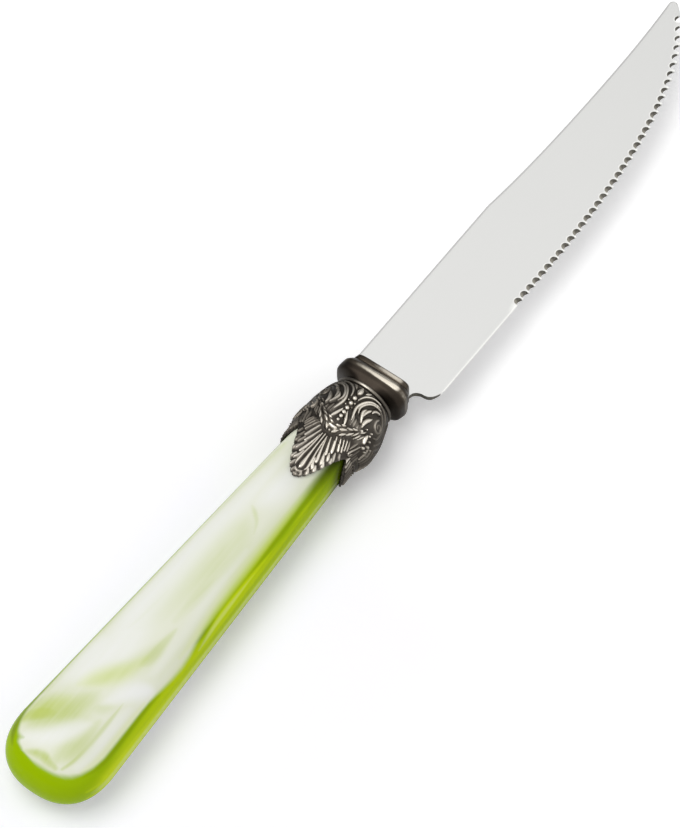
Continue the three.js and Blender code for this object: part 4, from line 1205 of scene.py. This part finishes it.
def from_leaves(f, at, fold, x):
    """Distances on the unrolled plan from the leaves' edge, for places on the handle."""
    folds = np.radians(np.arange(0, 91, 0.75))
    edge = np.stack([folds * PLAN_RADIUS, rim_place(f, at, folds)], axis=1)
    near = np.flatnonzero(x > edge[:, 1].min() - 8)
    off = np.stack([fold[near] * PLAN_RADIUS, x[near]], axis=1)[:, None] - edge
    distance = np.full(len(x), 100.0)
    distance[near] = np.sqrt((off**2).sum(axis=2).min(axis=1))
    return np.where(x > rim_place(f, at, fold), 0, distance)


def bulb_size(f, at, foot, x):
    """The bulb's half thickness at places between the ring and the shoulder."""
    front, widest = f.front / 2, f.bulb_thickness / 2
    behind = at.front - x
    share = np.clip((f.bulb_front - behind) / (f.bulb_front - f.ring_length), 0, 1)
    back = np.clip((behind - f.bulb_front) / f.bulb_back, 0, 1)
    swell = front + (widest - front) * np.sqrt(1 - share**2)
    fall = widest + (foot - widest) * (1 - np.cos(back * math.pi)) / 2
    return np.where(behind < f.bulb_front, swell, fall)


def ferrule_cavity(f, h, at):
    """Rows of the inside, from the leaves to the front face: place, half width, half thickness and power."""
    hole = f.front / 2 - f.face
    ring = (hole * f.aspect, hole, ROUND)
    shoulder = (h.front_width / 2, h.front_thickness / 2, h.squareness)
    narrow = h.tenon_step - f.fit_gap
    socket = (h.front_width / 2 - narrow, h.front_thickness / 2 - narrow, h.squareness)
    step = at.shoulder + f.fit_gap
    return [(step, *shoulder), (step, *socket), (at.cavity, *socket), (at.cavity, *ring), (at.front, *ring)]


def make_ferrule(f, h, at):
    """The ferrule: ring, bulb and leaves with their ornament outside, and the tenon's cavity inside."""
    clear = f.leaf_gap + f.leaf_thickness
    ring_back = at.front - f.ring_length
    cavity = ferrule_cavity(f, h, at)
    first_leaf = RING_ROWS + BULB_ROWS
    first_lining = first_leaf + LEAF_ROWS
    first_cavity = first_lining + LINING_ROWS
    mesh, row, angle = spun(first_cavity + len(cavity), 480, closed=True)
    on_bulb = (row >= RING_ROWS) & (row < first_leaf)
    on_leaf = (row >= first_leaf) & (row < first_lining)
    on_lining = (row >= first_lining) & (row < first_cavity)
    rim = np.full(len(angle), at.shoulder - f.skirt - f.leaf_length / 2)
    for _ in range(3):
        rim = rim_place(f, at, leaf_fold(angle, rim))

    # The ring is half a bead.
    bead = np.clip(row / (RING_ROWS - 1), 0, 1) * math.pi
    x = at.front - f.ring_length * (1 - np.cos(bead)) / 2
    thick = f.front / 2 + (f.ring_thickness - f.front) / 2 * np.sin(bead)

    share = (row - RING_ROWS + 1) / BULB_ROWS
    x = np.where(on_bulb, ring_back + (at.shoulder - ring_back) * share, x)
    thick = np.where(on_bulb, bulb_size(f, at, h.front_thickness / 2 + clear, x), thick)
    wide, power = thick * f.aspect, np.full(len(x), float(ROUND))

    # The leaves and their lining follow the handle's section, and the leaves' last rows round their edge.
    down = np.clip((row - first_leaf + 1) / LEAF_ROWS, 0, 1)
    back = np.clip((row - first_lining) / (LINING_ROWS - 1), 0, 1)
    over_handle = on_leaf | on_lining
    x = np.where(over_handle, at.shoulder + (rim - at.shoulder) * np.where(on_lining, 1 - back, down), x)
    handle_wide, handle_thick = handle_size(h, at.shoulder, x)
    edge = np.clip((first_lining - row) / 3, 0, 1)
    lift = np.where(on_lining, f.leaf_gap, clear - f.leaf_round * (1 - edge) ** 2)
    wide = np.where(over_handle, handle_wide + lift, wide)
    thick = np.where(over_handle, handle_thick + lift, thick)
    power = np.where(over_handle, h.squareness, power)

    inner = np.array(cavity)[np.clip(row - first_cavity, 0, len(cavity) - 1)].T
    outer = (x, wide, thick, power)
    x, wide, thick, power = (np.where(row >= first_cavity, *pair) for pair in zip(inner, outer))

    fold = leaf_fold(angle, x)
    outside = on_bulb | on_leaf
    plan = np.stack([fold * PLAN_RADIUS, x], axis=1)[outside]
    height = np.zeros(len(x))
    height[outside] = np.maximum(ornament(plan), leaf_ribs(plan, rim[outside]))
    near_ring = np.clip((ring_back - x) / 0.5, 0, 1)
    depth = np.where(on_leaf, f.leaf_relief, f.relief)
    sunk = np.where(outside, depth * (1 - height) * near_ring, 0)
    y, z = oval(angle, wide - sunk, thick - sunk, power)
    bulge = even_rise(at.front - x, 2.5, 8.5) * even_rise(x - at.shoulder, 0.1, 3.8)
    y -= np.where(on_bulb, f.side_swell * bulge * np.clip(np.sin(angle), 0, 1) ** 2, 0)
    knot = np.exp(-(((x - at.shoulder - 1.4) / 2.2) ** 2)) * np.clip(-np.sin(angle), 0, 1) ** 2
    y += np.where(outside, f.knot_swell * knot, 0)
    flat = f.bulb_thickness / 2 - f.bulb_flat
    set_points(mesh, x, y, np.clip(z, -flat, flat))

    # Painted light and shade: the ornament is lighter on the upper side and darker towards the spine
    # and the cutting edge; the ring's bead gets a painted highlight, brightest near the leaves' middle lines.
    side = towards_edge(angle)
    painted_side_light = 0.48 + 0.52 * even_rise(side, -48, 14)
    painted_side_light *= (1 - 0.35 * even_rise(side, 46, 64)) * (1 - 0.6 * even_rise(side, 68, 88))
    ring_highlight = (0.1 + 0.6 * np.sin(bead)) * (0.35 + 0.65 * np.exp(-((np.degrees(fold) / 24) ** 2)))
    ring_shine = np.where(row < RING_ROWS, ring_highlight, 0)
    add_values(mesh, "relief", np.where(outside, height * near_ring * painted_side_light, ring_shine))
    settle(mesh, sharp=70)
    return mesh


def make_floor(s):
    """The paper floor, whose shadows are lifted for camera rays."""
    shape = bmesh.new()
    bmesh.ops.create_grid(shape, x_segments=8, y_segments=8, size=FLOOR_HALF)
    mesh = to_mesh(shape, "floor")
    material, wire = new_material("floor_paper")
    seen = wire.node("ShaderNodeLightPath")
    along, across = (
        wire.node("ShaderNodeSeparateXYZ", None, {0: wire.node("ShaderNodeTexCoord", out=3)}, out=axis)
        for axis in (0, 1)
    )
    along -= AXIS.x
    aside = (across - AXIS.y + SHADOW_SIDE) ** 2
    lift = wire.mix(along.smooth(*FERRULE_FLOOR), s.floor_lift, s.ferrule_lift)
    lift = wire.mix(along.smooth(*BLADE_FLOOR), lift, s.blade_lift)
    lift = wire.mix(aside.smooth(*(distance**2 for distance in FAR_FLOOR)), lift, s.far_lift)
    wire.surface(
        Base_Color=(*s.floor_colour, 1), Roughness=1.0, Specular_IOR_Level=0.0,
        Emission_Color=wire.mix(seen, (0, 0, 0), lift), Emission_Strength=1.0,
    )
    mesh.materials.append(material)
    add_to_scene("floor", mesh)


def make_sky(s, scene):
    """An even sky, which metal mirrors white from above and darker near the horizon, on a white ground."""
    scene.world = scene.world or bpy.data.worlds.new("sky")
    scene.world.use_nodes = True
    scene.world.node_tree.nodes.clear()
    sky = Wire(scene.world.node_tree)
    camera_ray = sky.node("ShaderNodeLightPath")
    shiny_ray = Wire(sky.tree, camera_ray.socket.node.outputs["Is Glossy Ray"])
    light, white, dusk = (
        sky.node("ShaderNodeBackground", None, {"Color": (1, 1, 1, 1), "Strength": strength})
        for strength in (s.sky, 1.0, s.horizon)
    )
    rise = sky.node("ShaderNodeSeparateXYZ", None, {0: sky.node("ShaderNodeTexCoord")}, out=2)
    across = Wire(sky.tree, rise.socket.node.outputs[1])
    facing = (rise - across * s.lean).smooth(0.0, 0.6)
    mirrored = sky.node("ShaderNodeMixShader", None, {0: facing, 1: dusk, 2: white})
    seen = sky.node("ShaderNodeMixShader", None, {0: shiny_ray, 1: light, 2: mirrored})
    seen = sky.node("ShaderNodeMixShader", None, {0: camera_ray, 1: seen, 2: white})
    sky.node("ShaderNodeOutputWorld", None, {"Surface": seen})


def make_lamp(name, power):
    """A square lamp that faces the middle of the floor."""
    lamp = bpy.data.lights.new(name, "AREA")
    lamp.energy = power
    lamp.size, place = LAMPS[name]
    holder = add_to_scene(name, lamp)
    holder.location = place
    holder.rotation_euler = (-Vector(place)).to_track_quat("-Z", "Y").to_euler()


def make_camera(s, scene):
    """The camera, at the place that was worked out from the photograph."""
    level, heading = s.elevation, s.azimuth
    forward = Vector((
        math.cos(level) * math.sin(heading), math.cos(level) * math.cos(heading), -math.sin(level),
    ))
    camera = bpy.data.cameras.new("camera")
    camera.sensor_width = SENSOR
    camera.lens = s.focal_pixels * SENSOR / PICTURE_HEIGHT
    holder = add_to_scene("camera", camera)
    holder.location = AXIS + Vector(CAMERA_TARGET) * MM - forward * s.distance
    holder.rotation_euler = forward.to_track_quat("-Z", "Y").to_euler()
    scene.camera = holder


class KNIFE_OT_stage(bpy.types.Operator):
    """Make the floor, the lamps, the even sky and the camera"""

    bl_idname = "knife.stage"
    bl_label = "Stage"

    def execute(self, context):
        s = context.scene.knife_stage
        make_floor(s)
        make_sky(s, context.scene)
        make_lamp("overhead", s.overhead_power)
        make_lamp("fill", s.fill_power)
        make_camera(s, context.scene)
        context.scene.view_settings.view_transform = "Standard"
        return {"FINISHED"}


class KNIFE_OT_blade(bpy.types.Operator):
    """Make the serrated blade with its foot and tang"""

    bl_idname = "knife.blade"
    bl_label = "Blade"

    def execute(self, context):
        b = in_millimetres(context.scene.knife_blade)
        add_piece("knife_blade", make_blade(b), [satin_steel(b), ground_steel(b)], "blade")
        return {"FINISHED"}


class KNIFE_OT_collar(bpy.types.Operator):
    """Make the cast collar between the blade and the ferrule"""

    bl_idname = "knife.collar"
    bl_label = "Collar"

    def execute(self, context):
        c = in_millimetres(context.scene.knife_collar)
        mesh = make_collar(c)
        add_piece("cast_collar", mesh, [pewter("collar_pewter", c)], "bolster_collar")
        return {"FINISHED"}


class KNIFE_OT_ferrule(bpy.types.Operator):
    """Make the ferrule with its scrolls, beads, garland and leaves"""

    bl_idname = "knife.ferrule"
    bl_label = "Ferrule"

    def execute(self, context):
        f, h, at = sizes_of(context.scene)
        mesh = make_ferrule(f, h, at)
        add_piece("leaf_ferrule", mesh, [pewter("ferrule_pewter", f)], "ferrule")
        return {"FINISHED"}


class KNIFE_OT_handle(bpy.types.Operator):
    """Make the pearl acrylic handle"""

    bl_idname = "knife.handle"
    bl_label = "Handle"

    def execute(self, context):
        f, h, at = sizes_of(context.scene)
        mesh = make_handle(h, f, at)
        add_piece("pearl_handle", mesh, [pearl_acrylic(h)], "handle")
        return {"FINISHED"}


class KNIFE_OT_adhesive(bpy.types.Operator):
    """Give the two fillings of adhesive their finish"""

    bl_idname = "knife.adhesive"
    bl_label = "Adhesive"

    def execute(self, context):
        resin = cured_resin()
        for name in ("ferrule_adhesive", "tang_adhesive"):
            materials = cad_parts[name].data.materials
            materials.clear()
            materials.append(resin)
        return {"FINISHED"}


class KNIFE_PT_pieces(bpy.types.Panel):
    """The knife's pieces and their settings"""

    bl_label = "Steak Knife"
    bl_space_type = "VIEW_3D"
    bl_region_type = "UI"
    bl_category = "Knife"

    def draw(self, context):
        for operator in OPERATORS:
            self.layout.operator(operator.bl_idname)
        for name in GROUPS:
            group = getattr(context.scene, name)
            box = self.layout.box()
            for prop in group.bl_rna.properties:
                if prop.identifier not in ("rna_type", "name"):
                    box.prop(group, prop.identifier)


GROUPS = {
    "knife_blade": BladeSettings,
    "knife_collar": CollarSettings,
    "knife_ferrule": FerruleSettings,
    "knife_handle": HandleSettings,
    "knife_stage": StageSettings,
}
OPERATORS = (
    KNIFE_OT_stage,
    KNIFE_OT_blade,
    KNIFE_OT_collar,
    KNIFE_OT_ferrule,
    KNIFE_OT_handle,
    KNIFE_OT_adhesive,
)


def register():
    for cls in (*GROUPS.values(), *OPERATORS, KNIFE_PT_pieces):
        bpy.utils.register_class(cls)
    for name, group in GROUPS.items():
        setattr(bpy.types.Scene, name, PointerProperty(type=group))


def unregister():
    for name in GROUPS:
        delattr(bpy.types.Scene, name)
    for cls in reversed((*GROUPS.values(), *OPERATORS, KNIFE_PT_pieces)):
        bpy.utils.unregister_class(cls)


def main():
    register()
    bpy.ops.knife.stage()
    bpy.ops.knife.blade()
    bpy.ops.knife.collar()
    bpy.ops.knife.ferrule()
    bpy.ops.knife.handle()
    bpy.ops.knife.adhesive()


if __name__ == "__main__":
    main()
